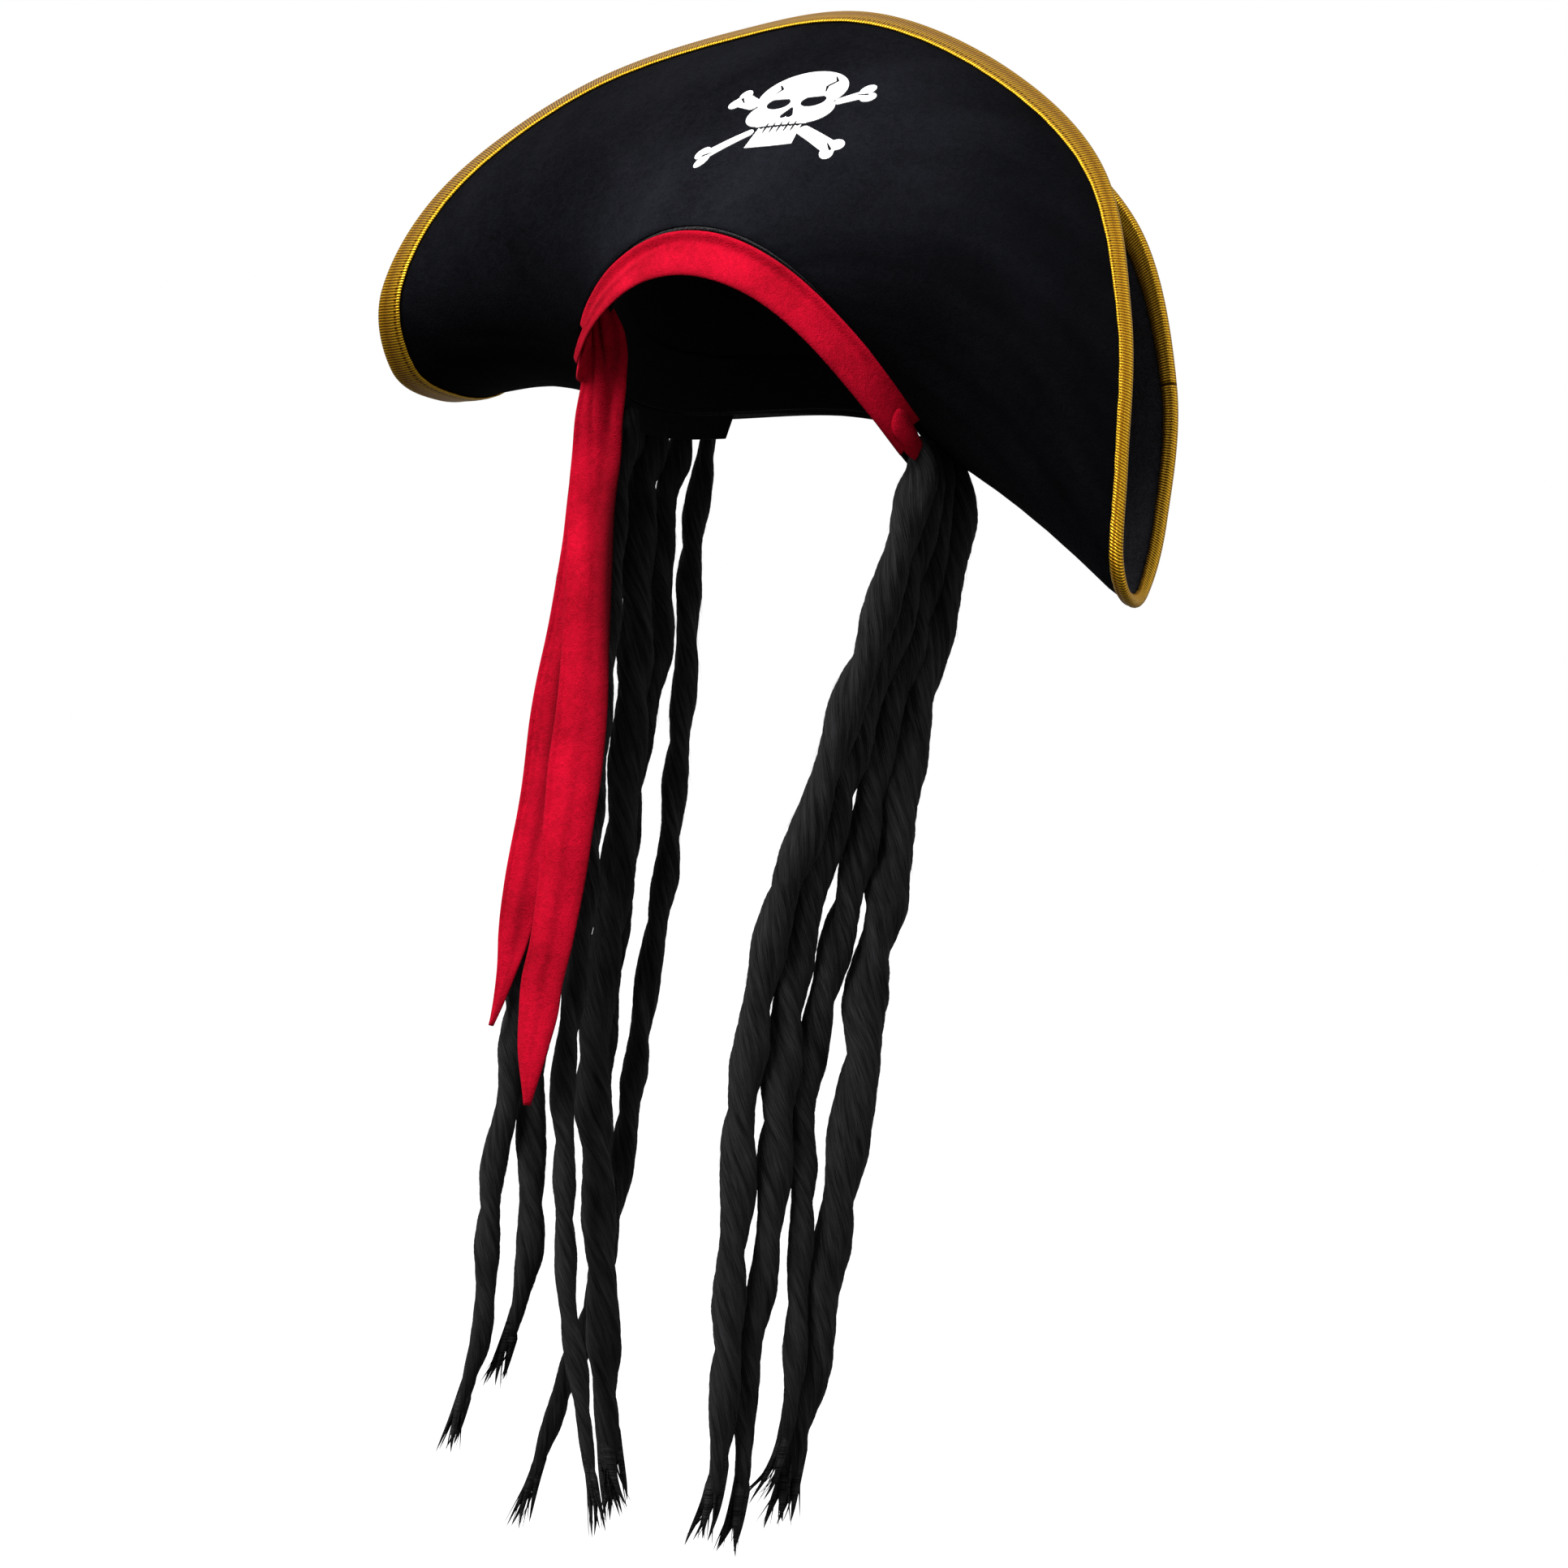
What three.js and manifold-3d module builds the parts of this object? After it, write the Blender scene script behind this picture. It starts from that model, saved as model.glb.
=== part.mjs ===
// Costume pirate hat with a bandana, two sash tails and twisted plush locks.
// Millimetres, +Z up, the front of the hat faces -Y. The origin is the centre of the head opening.
import * as THREE from 'three';
import { ParametricGeometry } from 'three/addons/geometries/ParametricGeometry.js';
import { mergeVertices } from 'three/addons/utils/BufferGeometryUtils.js';
import Module from 'manifold-3d';

const wasm = await Module();
wasm.setup();

// How the hat sits on the head.
const PITCH = THREE.MathUtils.degToRad(15.3);     // front edge lifted
const COCK = THREE.MathUtils.degToRad(3.7);       // right side lowered

// Head opening: an oval whose sides dip below its front and back.
const RIM_HALF_WIDTH = 92;
const RIM_HALF_LENGTH = 103;
const RIM_DIP = 43.5;

// Brim: flaps turned up at the front and the back, open at both tips.
const VELOUR = 0.8;
const FOAM = 3;
const GAP = 0.3;
const FLAP_SWELL = 8;
const KEEL_ARCH = { right: 3, left: 10 };
const TURNS = 72;         // stations round the brim
const ROWS = 6;           // stations from the rim to the edge
const FOAM_REACH = 0.99;  // the foam stops just short of the velour's edge
const FOAM_CLEAR = 0.001; // part of a turn left free at each end of a foam

// Gold binding folded over the edge of the brim.
const BINDING_LEG = 9;
const BINDING = 0.9;
const BINDING_GAP = 0.4;
const BINDING_JOINT = 63 / 72;      // its two ends meet at the right of the back flap
const BINDING_SLIT = 0.0006;

// Crown: a soft dome pressed between the two flaps.
const CROWN_HEIGHT = 120;
const CROWN_SQUASH = 0.4;
const CROWN_INSET = 4;
const CROWN_CLOTH = 0.8;
const LINING_INSET = 5.2;
const LINING = 0.6;
const CROWN_ROWS = 8;
const CROWN_STEPS = 32;
const SEAM_GAP = 0.4;

// Sweatband, bandana and weft tapes, all measured inwards from the rim.
const SWEATBAND = { inset: 7.2, thick: 1.2 };
const BANDANA = { inset: 1, thick: 2, top: -2.6, bottom: -22 };
const TAPE = { inset: 9.5, thick: 1.6, top: -2, bottom: -15 };

const TAIL_THICK = 2.4;
const PRINT_THICK = 0.5;
const PRINT_LIFT = 2.2;
const PRINT_ACROSS = [1.08, 0.43];     // where one unit of the drawing's X and Y lies on the cloth
const PRINT_UP = [-0.09, 1.5];
const PRINT_SHIFT = [-0.1, 9.6];
const BONE_CROSSING = -9;              // height of the place where the bones would cross

const BLACK_VELOUR = { color: 0x14151a, roughness: 0.9, metalness: 0 };
const BLACK_CLOTH = { color: 0x0f1013, roughness: 0.95, metalness: 0 };
const GREY_FOAM = { color: 0x3a3b3e, roughness: 1, metalness: 0 };
const GOLD_LAME = { color: 0xd39a22, roughness: 0.35, metalness: 0.8 };
const WHITE_PRINT = { color: 0xf4f4f2, roughness: 0.6, metalness: 0 };
const RED_VELVET = { color: 0xcc0a2c, roughness: 0.7, metalness: 0 };
const BLACK_PLUSH = { color: 0x18181a, roughness: 1, metalness: 0 };

// Edge of the brim, one point every 15 degrees from the right tip, round the front, the left tip and the back.
const EDGE = [
  [210, -11, -107], [208, -31, -95], [200, -39, -54], [181, -39, 12], [142, -33, 86], [76, -28, 133],
  [0, -28, 154], [-68, -28, 138], [-139, -33, 98], [-185, -48, 31], [-205, -42, -26], [-207, -10, -55],
  [-202, 25, -53], [-201, 58, -35], [-196, 65, -8], [-178, 56, 44], [-138, 40, 90], [-70, 28, 126],
  [0, 24, 148], [76, 24, 131], [142, 27, 86], [183, 29, 11], [201, 22, -56], [208, 10, -96],
].map((point) => new THREE.Vector3(...point));
const edgeCurve = new THREE.CatmullRomCurve3(EDGE, true, 'catmullrom', 0.5);

// Locks of hair: the diameter and the route of each, from the weft tape to the tip.
const RIGHT_LOCKS = {
  right_lock_a: { size: 14, route: [[88, -28, -65], [86, -28, -82], [85, -28, -100], [80, -28, -124],
    [77, -28, -147], [70, -28, -173], [65, -28, -199], [56, -28, -243], [50, -28, -266], [45, -28, -309],
    [44, -28, -340], [44, -28, -378], [48, -28, -405], [50, -28, -446], [54, -28, -479], [57, -28, -517],
    [57, -28, -548], [53, -28, -573]] },
  right_lock_b: { size: 12.5, route: [[87, -13, -65], [86, -13, -86], [83, -13, -116], [77, -13, -148],
    [70, -13, -179], [65, -13, -210], [59, -13, -249], [54, -13, -285], [53, -13, -323], [55, -13, -361],
    [58, -13, -396], [60, -13, -441], [58, -13, -483], [59, -13, -507], [63, -13, -531], [63, -13, -556],
    [61, -13, -577]] },
  right_lock_c: { size: 10.5, route: [[87, 1, -66], [88, 1, -87], [86, 1, -114], [83, 1, -142], [78, 1, -169],
    [74, 1, -200], [73, 1, -231], [70, 1, -263], [66, 1, -294], [63, 1, -318], [61, 1, -346], [62, 1, -378],
    [67, 1, -403], [72, 1, -450], [76, 1, -490], [76, 1, -517], [71, 1, -539], [61, 1, -555]] },
  right_lock_d: { size: 16.5, route: [[87, 15, -67], [90, 15, -82], [91, 15, -101], [88, 15, -126],
    [86, 15, -152], [83, 15, -172], [82, 15, -195], [83, 15, -225], [82, 15, -254], [83, 15, -270],
    [79, 15, -296], [79, 15, -314], [82, 15, -338], [81, 15, -370], [80, 15, -409], [79, 15, -444],
    [79, 15, -476], [77, 15, -508], [75, 15, -534], [72, 15, -567]] },
};
const LEFT_LOCKS = {
  left_lock_e: { size: 11, route: [[-72, 58, -62], [-73, 58, -85], [-72, 58, -111], [-69, 58, -142],
    [-66, 58, -167], [-63, 58, -222], [-61, 58, -269], [-62, 58, -297], [-63, 58, -344], [-63, 58, -381],
    [-63, 58, -422], [-65, 58, -451], [-67, 58, -485], [-71, 58, -511], [-77, 58, -531], [-82, 58, -555],
    [-86, 58, -574], [-91, 58, -597], [-95, 58, -614]] },
  left_lock_f: { size: 15, route: [[-84, 24, -62], [-87, 24, -85], [-83, 24, -121], [-78, 24, -153],
    [-75, 24, -185], [-73, 24, -218], [-70, 24, -264], [-70, 24, -299], [-70, 24, -345], [-65, 24, -386],
    [-59, 24, -411], [-53, 24, -442], [-47, 24, -468], [-41, 24, -497], [-36, 24, -522], [-28, 24, -552],
    [-19, 24, -583]] },
  left_lock_g: { size: 9.5, route: [[-80, -8, -60], [-81, -8, -86], [-77, -8, -132], [-75, -8, -164],
    [-73, -8, -203], [-70, -8, -243], [-67, -8, -283], [-66, -8, -323], [-66, -8, -365], [-64, -8, -385],
    [-60, -8, -402], [-55, -8, -433], [-50, -8, -460], [-44, -8, -486], [-37, -8, -505], [-31, -8, -523],
    [-24, -8, -546], [-18, -8, -564], [-10, -8, -587]] },
  left_lock_h: { size: 11, route: [[-90, -5, -62], [-98, -6, -80], [-101, -6, -126], [-101, -6, -166],
    [-101, -6, -207], [-100, -6, -247], [-99, -6, -287], [-99, -6, -328], [-98, -6, -364], [-99, -6, -393],
    [-100, -6, -413], [-99, -6, -425], [-97, -6, -452], [-95, -6, -474], [-93, -6, -490], [-93, -6, -513],
    [-97, -6, -534], [-100, -6, -553], [-103, -6, -568]] },
  left_lock_i: { size: 13, route: [[-88, 8, -62], [-95, 8, -80], [-97, 8, -124], [-96, 8, -164],
    [-96, 8, -205], [-95, 8, -246], [-96, 8, -287], [-97, 8, -327], [-95, 8, -368], [-91, 8, -390],
    [-85, 8, -427], [-81, 8, -454], [-80, 8, -471], [-82, 8, -492], [-86, 8, -513], [-91, 8, -534]] },
  left_lock_k: { size: 11, route: [[-78, 41, -62], [-82, 41, -85], [-80, 41, -114], [-75, 41, -142],
    [-74, 41, -167], [-76, 41, -188], [-78, 41, -213], [-78, 41, -242], [-76, 41, -275], [-76, 41, -308],
    [-75, 41, -349], [-71, 41, -389], [-64, 41, -425], [-57, 41, -461], [-51, 41, -501], [-46, 41, -533],
    [-39, 41, -564], [-29, 41, -591]] },
};

// Bone ends: the angle in degrees, where each starts and ends along it, and half its shaft's width.
const BONES = {
  bone_print_1: [25.5, 21, 31, 1.9],
  bone_print_2: [149, 23, 32, 2.7],
  bone_print_3: [203.7, 14.5, 31, 1.9],
  bone_print_4: [330, 14.5, 32, 2.5],
};

// Sash tails: the middle of the cloth from the fold to the tip, and its width there.
const TAILS = {
  front_tail: [[-84, -32, -57, 26], [-82, -32, -70, 26], [-80, -32, -95, 24], [-76, -32, -126, 23],
    [-72, -32, -162, 24], [-69, -32, -193, 26], [-68, -32, -224, 28], [-68, -32, -248, 26],
    [-67, -32, -276, 24], [-68, -32, -307, 22], [-70, -32, -327, 22], [-70, -32, -343, 23],
    [-70, -32, -363, 18], [-69, -32, -387, 4]],
  rear_tail: [[-91, -20, -52, 22], [-90, -20, -70, 22], [-89, -20, -102, 22], [-89, -20, -128, 22],
    [-91, -20, -162, 22], [-93, -20, -192, 22], [-93, -20, -214, 22], [-93, -20, -250, 22],
    [-96, -20, -285, 20], [-97, -20, -308, 17], [-98, -20, -328, 10], [-103, -20, -354, 3]],
};

// A closed, outward facing body from raw triangles: shared corners joined, empty triangles dropped.
function closedBody(geometry) {
  geometry.deleteAttribute('normal');
  geometry.deleteAttribute('uv');
  const body = mergeVertices(geometry, 1e-4);
  const corner = [0, 1, 2].map(() => new THREE.Vector3());
  const kept = [];
  let volume = 0;
  for (let i = 0; i < body.index.count; i += 3) {
    const ids = [0, 1, 2].map((k) => body.index.getX(i + k));
    if (new Set(ids).size < 3) continue;
    ids.forEach((id, k) => corner[k].fromBufferAttribute(body.attributes.position, id));
    volume += corner[0].dot(corner[1].cross(corner[2]));
    kept.push(ids);
  }
  body.setIndex(kept.flatMap((ids) => (volume < 0 ? ids.reverse() : ids)));
  return body;
}

// Cuts the quads from the given one on along their other diagonal.
function turnDiagonals(geometry, firstQuad) {
  const ids = geometry.index.array;
  for (let at = 6 * firstQuad; at < ids.length; at += 6) {
    const [a, b, d, , c] = ids.subarray(at, at + 6);
    ids.set([a, b, c, a, c, d], at);
  }
}

// A slab of cloth. place(along, across, side) gives a point, with side 0 and 1 its two faces.
// A ring closes on itself; a strip is closed at both ends.
function slab(place, steps, rows, ring) {
  const stacks = 2 * (rows + 1);
  const slices = ring ? steps : steps + 2;
  const shape = (u, v, target) => {
    const slice = Math.round(u * slices);
    const stack = Math.round(v * stacks) % stacks;
    const back = stack > rows;
    const across = (back ? stacks - 1 - stack : stack) / rows;
    const pinched = !ring && (slice === 0 || slice === slices);
    const along = ring ? (slice % steps) / steps : THREE.MathUtils.clamp((slice - 1) / steps, 0, 1);
    target.copy(place(along, across, pinched ? 0.5 : Number(back)));
  };
  const geometry = new ParametricGeometry(shape, slices, stacks);
  turnDiagonals(geometry, (rows + 1) * slices);      // so both faces fold along the same lines
  return closedBody(geometry);
}

// The rim at a turning angle, moved inwards by inset and up by rise.
function rimPoint(angle, inset, rise) {
  const x = (RIM_HALF_WIDTH - inset) * Math.cos(angle);
  const y = (RIM_HALF_LENGTH - inset) * Math.sin(angle);
  return new THREE.Vector3(x, y, rise - RIM_DIP * Math.cos(angle) ** 2);
}

// The middle of the brim. turn runs 0..1 from the right tip round the front; out runs 0..1 from rim to edge.
function brimPoint(turn, out) {
  const angle = -2 * Math.PI * turn;
  const point = rimPoint(angle, 0, 0).lerp(edgeCurve.getPoint(((turn % 1) + 1) % 1), out);
  const swell = Math.sin(Math.PI * THREE.MathUtils.clamp(out, 0, 1));
  point.y += FLAP_SWELL * swell * Math.sin(angle) * Math.abs(Math.sin(angle));
  const arch = Math.cos(angle) > 0 ? KEEL_ARCH.right : KEEL_ARCH.left;
  point.z += arch * swell * Math.cos(angle) ** 2;
  return point;
}

// The brim's outward normal, away from the crown.
function brimNormal(turn, out) {
  const step = 1e-3;
  const along = brimPoint(turn + step, out).sub(brimPoint(turn - step, out));
  const across = brimPoint(turn, out + step).sub(brimPoint(turn, out - step));
  return across.cross(along).normalize();
}

function brimOffset(turn, out, lift) {
  return brimPoint(turn, out).addScaledVector(brimNormal(turn, out), lift);
}

// The part of the flap's height that the binding's leg covers.
function legShare(turn) {
  return BINDING_LEG / brimPoint(turn, 0).distanceTo(brimPoint(turn, 1));
}

// Row stations of the brim: evenly from the rim to the inner edge of the binding, then the edge itself.
function rowPlace(turn, across) {
  return across === 1 ? 1 : (across * ROWS * (1 - legShare(turn))) / (ROWS - 1);
}

// One layer of the brim between two lifts, all round or over half a turn.
function brimLayer(low, high, from, to, reach = 1) {
  const ring = to - from === 1;
  const steps = Math.round(TURNS * (to - from));
  const clear = ring ? 0 : FOAM_CLEAR;
  const turn = (a) => THREE.MathUtils.clamp(from + (to - from) * a, from + clear, to - clear);
  const lift = (side) => low + (high - low) * side;
  const place = (a, b, side) => brimOffset(turn(a), reach * rowPlace(turn(a), b), lift(side));
  return slab(place, steps, ROWS, ring);
}

// The binding's path: in along the outer face, round the edge, back along the inner face.
function bindingPath(turn, walk, side) {
  const span = brimPoint(turn, 0).distanceTo(brimPoint(turn, 1));
  const start = 1 - legShare(turn);
  const clear = GAP / span;
  const half = FOAM / 2 + GAP + VELOUR + BINDING_GAP + BINDING * side;
  const beyond = 1 + clear + (BINDING / span) * side;
  const stops = [[start, half], [beyond, half], [beyond, -half], [start, -half]];
  const [out, lift] = stops[Math.round(walk * (stops.length - 1))];
  const face = brimNormal(turn, Math.min(out, 1)).multiplyScalar(lift);
  return brimPoint(turn, out).add(face);
}

function goldBinding() {
  const turn = (a) => BINDING_JOINT + THREE.MathUtils.clamp(a, BINDING_SLIT, 1 - BINDING_SLIT);
  return slab((a, b, side) => bindingPath(turn(a), b, side), TURNS, 3, false);
}

// The crown's dome: angle runs round it, climb from the rim (0) to the top (1).
function crownPoint(angle, climb, inset) {
  const arch = (climb * Math.PI) / 2;
  const base = rimPoint(angle, inset, 0);
  const squash = 1 - CROWN_SQUASH * Math.sin(arch);
  const height = base.z * (1 - Math.sin(arch)) + (CROWN_HEIGHT - inset) * Math.sin(arch);
  return new THREE.Vector3(base.x * Math.cos(arch), base.y * Math.cos(arch) * squash, height);
}

// A layer of the dome, its lowest rows only when share is under 1.
function dome(inset, thick, rows) {
  const share = rows / CROWN_ROWS;
  const place = (a, b, side) => crownPoint(2 * Math.PI * a, share * b, inset + thick * side);
  return slab(place, CROWN_STEPS, rows, true);
}

function toManifold(geometry) {
  const mesh = new wasm.Mesh({
    numProp: 3,
    vertProperties: Float32Array.from(geometry.attributes.position.array),
    triVerts: Uint32Array.from(geometry.index.array),
  });
  return new wasm.Manifold(mesh);
}

function toGeometry(manifold) {
  const mesh = manifold.getMesh();
  const geometry = new THREE.BufferGeometry();
  geometry.setAttribute('position', new THREE.BufferAttribute(mesh.vertProperties, 3));
  geometry.setIndex(new THREE.BufferAttribute(mesh.triVerts, 1));
  return geometry;
}

// Half of the crown, to the side given by 1 or -1, short of the centre seam.
function crownPanel(side) {
  const reach = 2 * RIM_HALF_LENGTH;
  const box = closedBody(new THREE.BoxGeometry(reach, 2 * reach, 2 * reach));
  box.translate(side * (reach / 2 + SEAM_GAP / 2), 0, 0);
  return toGeometry(toManifold(dome(CROWN_INSET, CROWN_CLOTH, CROWN_ROWS)).intersect(toManifold(box)));
}

// A band hanging inside the rim between two angles, in degrees.
function rimBand(band, from, to, steps) {
  const angle = (a) => THREE.MathUtils.degToRad(from + (to - from) * a);
  const rise = (b) => band.bottom + (band.top - band.bottom) * b;
  const place = (a, b, side) => rimPoint(angle(a), band.inset + band.thick * side, rise(b));
  return slab(place, steps, 1, false);
}

// A lock of hair or other tube: an eight sided section along a smooth route.
function tube(route, size) {
  const path = new THREE.CatmullRomCurve3(route.map((point) => new THREE.Vector3(...point)));
  const corners = Array.from({ length: 8 }, (_, i) => (i * Math.PI) / 4);
  const section = new THREE.Shape(
    corners.map((angle) => new THREE.Vector2(Math.cos(angle), Math.sin(angle)).multiplyScalar(size / 2)),
  );
  const steps = Math.ceil(path.getLength() / (2.4 * size));
  return closedBody(new THREE.ExtrudeGeometry(section, { steps, extrudePath: path, bevelEnabled: false }));
}

// A hanging tail of cloth, its width lying along X.
function tail(stations) {
  const middle = new THREE.CatmullRomCurve3(stations.map(([x, y, z]) => new THREE.Vector3(x, y, z)));
  const widthAt = (a) => {
    const place = a * (stations.length - 1);
    const low = Math.min(Math.floor(place), stations.length - 2);
    return THREE.MathUtils.lerp(stations[low][3], stations[low + 1][3], place - low);
  };
  const place = (a, b, side) => {
    const point = middle.getPoint(a);
    point.x += widthAt(a) * (b - 0.5);
    point.y += TAIL_THICK * (side - 0.5);
    return point;
  };
  return slab(place, 2 * (stations.length - 1), 1, false);
}

function outline(points) {
  return new THREE.Shape(points.map(([x, y]) => new THREE.Vector2(x, y)));
}

function ellipseHole(x, y, halfWidth, halfHeight, lean) {
  const hole = new THREE.Path();
  hole.absellipse(x, y, halfWidth, halfHeight, 0, 2 * Math.PI, true, lean);
  return hole;
}

// The skull without its jaw: cheekbones under a round brow, with eye and nose holes.
function skullShape() {
  const skull = new THREE.Shape();
  skull.moveTo(9, -12);
  skull.bezierCurveTo(15, -12, 20, -7, 16.5, 1);
  skull.bezierCurveTo(20, 12, 10, 16, 0, 16);
  skull.bezierCurveTo(-10, 16, -20, 12, -16.5, 1);
  skull.bezierCurveTo(-20, -7, -15, -12, -9, -12);
  skull.closePath();
  skull.holes.push(ellipseHole(-7, 0, 4.6, 2.8, -0.2));
  skull.holes.push(ellipseHole(7, 0, 4.6, 2.8, 0.2));
  skull.holes.push(new THREE.Path([[0, -3], [-2.2, -7.5], [2.2, -7.5]].map(([x, y]) => new THREE.Vector2(x, y))));
  return skull;
}

// A bone end: a shaft running out from the skull to two knobs. It is drawn along +X.
function boneShape(start, end, half) {
  const bone = new THREE.Shape();
  bone.moveTo(start, -half);
  bone.lineTo(end - 3, -half);
  bone.bezierCurveTo(end - 3, -5, end + 1.5, -5, end + 1.5, -2);
  bone.bezierCurveTo(end + 0.7, 0, end + 0.7, 0, end + 1.5, 2);
  bone.bezierCurveTo(end + 1.5, 5, end - 3, 5, end - 3, half);
  bone.lineTo(start, half);
  bone.closePath();
  return bone;
}

function printBody(shape) {
  const options = { depth: PRINT_THICK, bevelEnabled: false, curveSegments: 6 };
  return closedBody(new THREE.ExtrudeGeometry(shape, options));
}

function part(name, geometry, look) {
  const mesh = new THREE.Mesh(geometry, new THREE.MeshStandardMaterial(look));
  mesh.name = name;
  return mesh;
}

// The print stands on the front flap, its own X and Y along the cloth.
function printGroup() {
  const spot = { turn: 0.247, out: 0.47 };
  const face = brimNormal(spot.turn, spot.out);
  const up = brimPoint(spot.turn, spot.out + 0.05).sub(brimPoint(spot.turn, spot.out - 0.05)).normalize();
  const right = new THREE.Vector3().crossVectors(up, face).normalize();
  const group = new THREE.Group();
  group.matrixAutoUpdate = false;
  group.matrix.makeBasis(right, up, face);
  group.matrix.setPosition(brimOffset(spot.turn, spot.out, FOAM / 2 + GAP + VELOUR + PRINT_LIFT));
  const drawn = new THREE.Matrix4().makeBasis(
    new THREE.Vector3(...PRINT_ACROSS, 0),
    new THREE.Vector3(...PRINT_UP, 0),
    new THREE.Vector3(0, 0, 1),
  );
  group.matrix.multiply(drawn.setPosition(...PRINT_SHIFT, 0));
  group.add(part('skull_print', printBody(skullShape()), WHITE_PRINT));
  const jaw = outline([[-9, -12.6], [9, -12.6], [9.5, -21.5], [0, -22.8], [-9.5, -21.5]]);
  group.add(part('jaw_print', printBody(jaw), WHITE_PRINT));
  for (const [name, [degrees, start, end, half]] of Object.entries(BONES)) {
    const bone = part(name, printBody(boneShape(start, end, half)), WHITE_PRINT);
    bone.rotation.z = THREE.MathUtils.degToRad(degrees);
    bone.position.y = BONE_CROSSING;
    group.add(bone);
  }
  return group;
}

function brimGroup() {
  const core = FOAM / 2;
  const group = new THREE.Group();
  group.add(part('brim_outer_velour', brimLayer(core + GAP, core + GAP + VELOUR, 0, 1), BLACK_VELOUR));
  group.add(part('brim_inner_velour', brimLayer(-core - GAP - VELOUR, -core - GAP, 0, 1), BLACK_VELOUR));
  group.add(part('front_brim_foam', brimLayer(-core, core, 0, 0.5, FOAM_REACH), GREY_FOAM));
  group.add(part('rear_brim_foam', brimLayer(-core, core, 0.5, 1, FOAM_REACH), GREY_FOAM));
  group.add(part('gold_binding', goldBinding(), GOLD_LAME));
  return group;
}

function crownGroup() {
  const group = new THREE.Group();
  group.add(part('crown_left_panel', crownPanel(-1), BLACK_VELOUR));
  group.add(part('crown_right_panel', crownPanel(1), BLACK_VELOUR));
  group.add(part('crown_lining', dome(LINING_INSET, LINING, CROWN_ROWS), BLACK_CLOTH));
  group.add(part('sweatband', dome(SWEATBAND.inset, SWEATBAND.thick, 1), BLACK_CLOTH));
  return group;
}

function bandanaGroup() {
  const rolled = { inset: 0.6, thick: 5, top: -4, bottom: -16 };
  const fold = { inset: -4, thick: 9, top: -4.5, bottom: -20 };
  const group = new THREE.Group();
  group.add(part('bandana_band', rimBand(BANDANA, -158, -14, 28), RED_VELVET));
  group.add(part('bandana_right_end', rimBand(rolled, -13, -6, 2), RED_VELVET));
  group.add(part('bandana_left_fold', rimBand(fold, -172, -159, 3), RED_VELVET));
  return group;
}

const group = new THREE.Group();
const hat = new THREE.Group();
hat.rotation.set(-PITCH, COCK, 0, 'YXZ');
hat.add(brimGroup(), crownGroup(), bandanaGroup(), printGroup());
hat.add(part('right_weft_tape', rimBand(TAPE, -22, 16, 8), BLACK_CLOTH));
hat.add(part('left_weft_tape', rimBand(TAPE, 134, 186, 10), BLACK_CLOTH));
group.add(hat);
for (const [name, stations] of Object.entries(TAILS)) {
  group.add(part(name, tail(stations), RED_VELVET));
}
for (const [name, lock] of Object.entries({ ...RIGHT_LOCKS, ...LEFT_LOCKS })) {
  group.add(part(name, tube(lock.route, lock.size), BLACK_PLUSH));
}

export default group;
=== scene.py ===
import math
import bpy
import numpy as np
from mathutils import Matrix


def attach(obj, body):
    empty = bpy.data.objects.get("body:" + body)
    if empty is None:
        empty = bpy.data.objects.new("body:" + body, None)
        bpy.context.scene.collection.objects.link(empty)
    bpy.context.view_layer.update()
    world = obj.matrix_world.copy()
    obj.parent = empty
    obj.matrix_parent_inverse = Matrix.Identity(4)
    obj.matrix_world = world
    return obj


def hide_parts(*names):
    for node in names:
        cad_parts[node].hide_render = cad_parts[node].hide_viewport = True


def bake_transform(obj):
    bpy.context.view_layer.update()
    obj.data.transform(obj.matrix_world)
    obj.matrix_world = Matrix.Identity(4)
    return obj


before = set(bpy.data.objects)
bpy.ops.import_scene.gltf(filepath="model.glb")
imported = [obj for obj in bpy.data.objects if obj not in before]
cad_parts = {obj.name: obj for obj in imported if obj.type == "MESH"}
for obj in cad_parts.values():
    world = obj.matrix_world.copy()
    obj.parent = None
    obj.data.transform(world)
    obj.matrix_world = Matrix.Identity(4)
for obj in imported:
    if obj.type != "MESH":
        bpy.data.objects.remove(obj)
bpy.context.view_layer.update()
mm = 0.001
print("frame loaded:", len(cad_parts), "nodes")


# The camera: angles in degrees, lengths in metres. lookRight and lookUp say how far the origin sits
# left of and above the middle of the view.
cameraSetup = {"azimuth": 27.0, "elevation": 0.41, "roll": 8.01, "distance": 1.5,
               "lookRight": 0.0055, "lookUp": 0.2179, "lens": 71.7, "sensor": 36.0}


def viewAxes(setup):
    # right, up and back axes of a camera turned by azimuth, elevation and roll
    azimuth, elevation, roll = (math.radians(setup[k]) for k in ("azimuth", "elevation", "roll"))
    back = np.array([math.sin(azimuth) * math.cos(elevation),
                     -math.cos(azimuth) * math.cos(elevation), math.sin(elevation)])
    level = np.array([math.cos(azimuth), math.sin(azimuth), 0.0])
    upright = np.cross(back, level)
    right = math.cos(roll) * level + math.sin(roll) * upright
    up = math.cos(roll) * upright - math.sin(roll) * level
    return right, up, back


def placement(x, y, z, place):
    # a matrix whose columns are three axes and a place
    return Matrix(np.vstack([np.column_stack([x, y, z, place]), [0, 0, 0, 1]]).tolist())


def placeCamera(setup):
    # straight back from the origin by the distance, less what shifts the view
    right, up, back = viewAxes(setup)
    place = back * setup["distance"] - right * setup["lookRight"] - up * setup["lookUp"]
    data = bpy.data.cameras.new("viewCamera")
    data.lens = setup["lens"]
    data.sensor_width = setup["sensor"]
    camera = bpy.data.objects.new("viewCamera", data)
    camera.matrix_world = placement(right, up, back, place)
    bpy.context.scene.collection.objects.link(camera)
    bpy.context.scene.camera = camera


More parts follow.
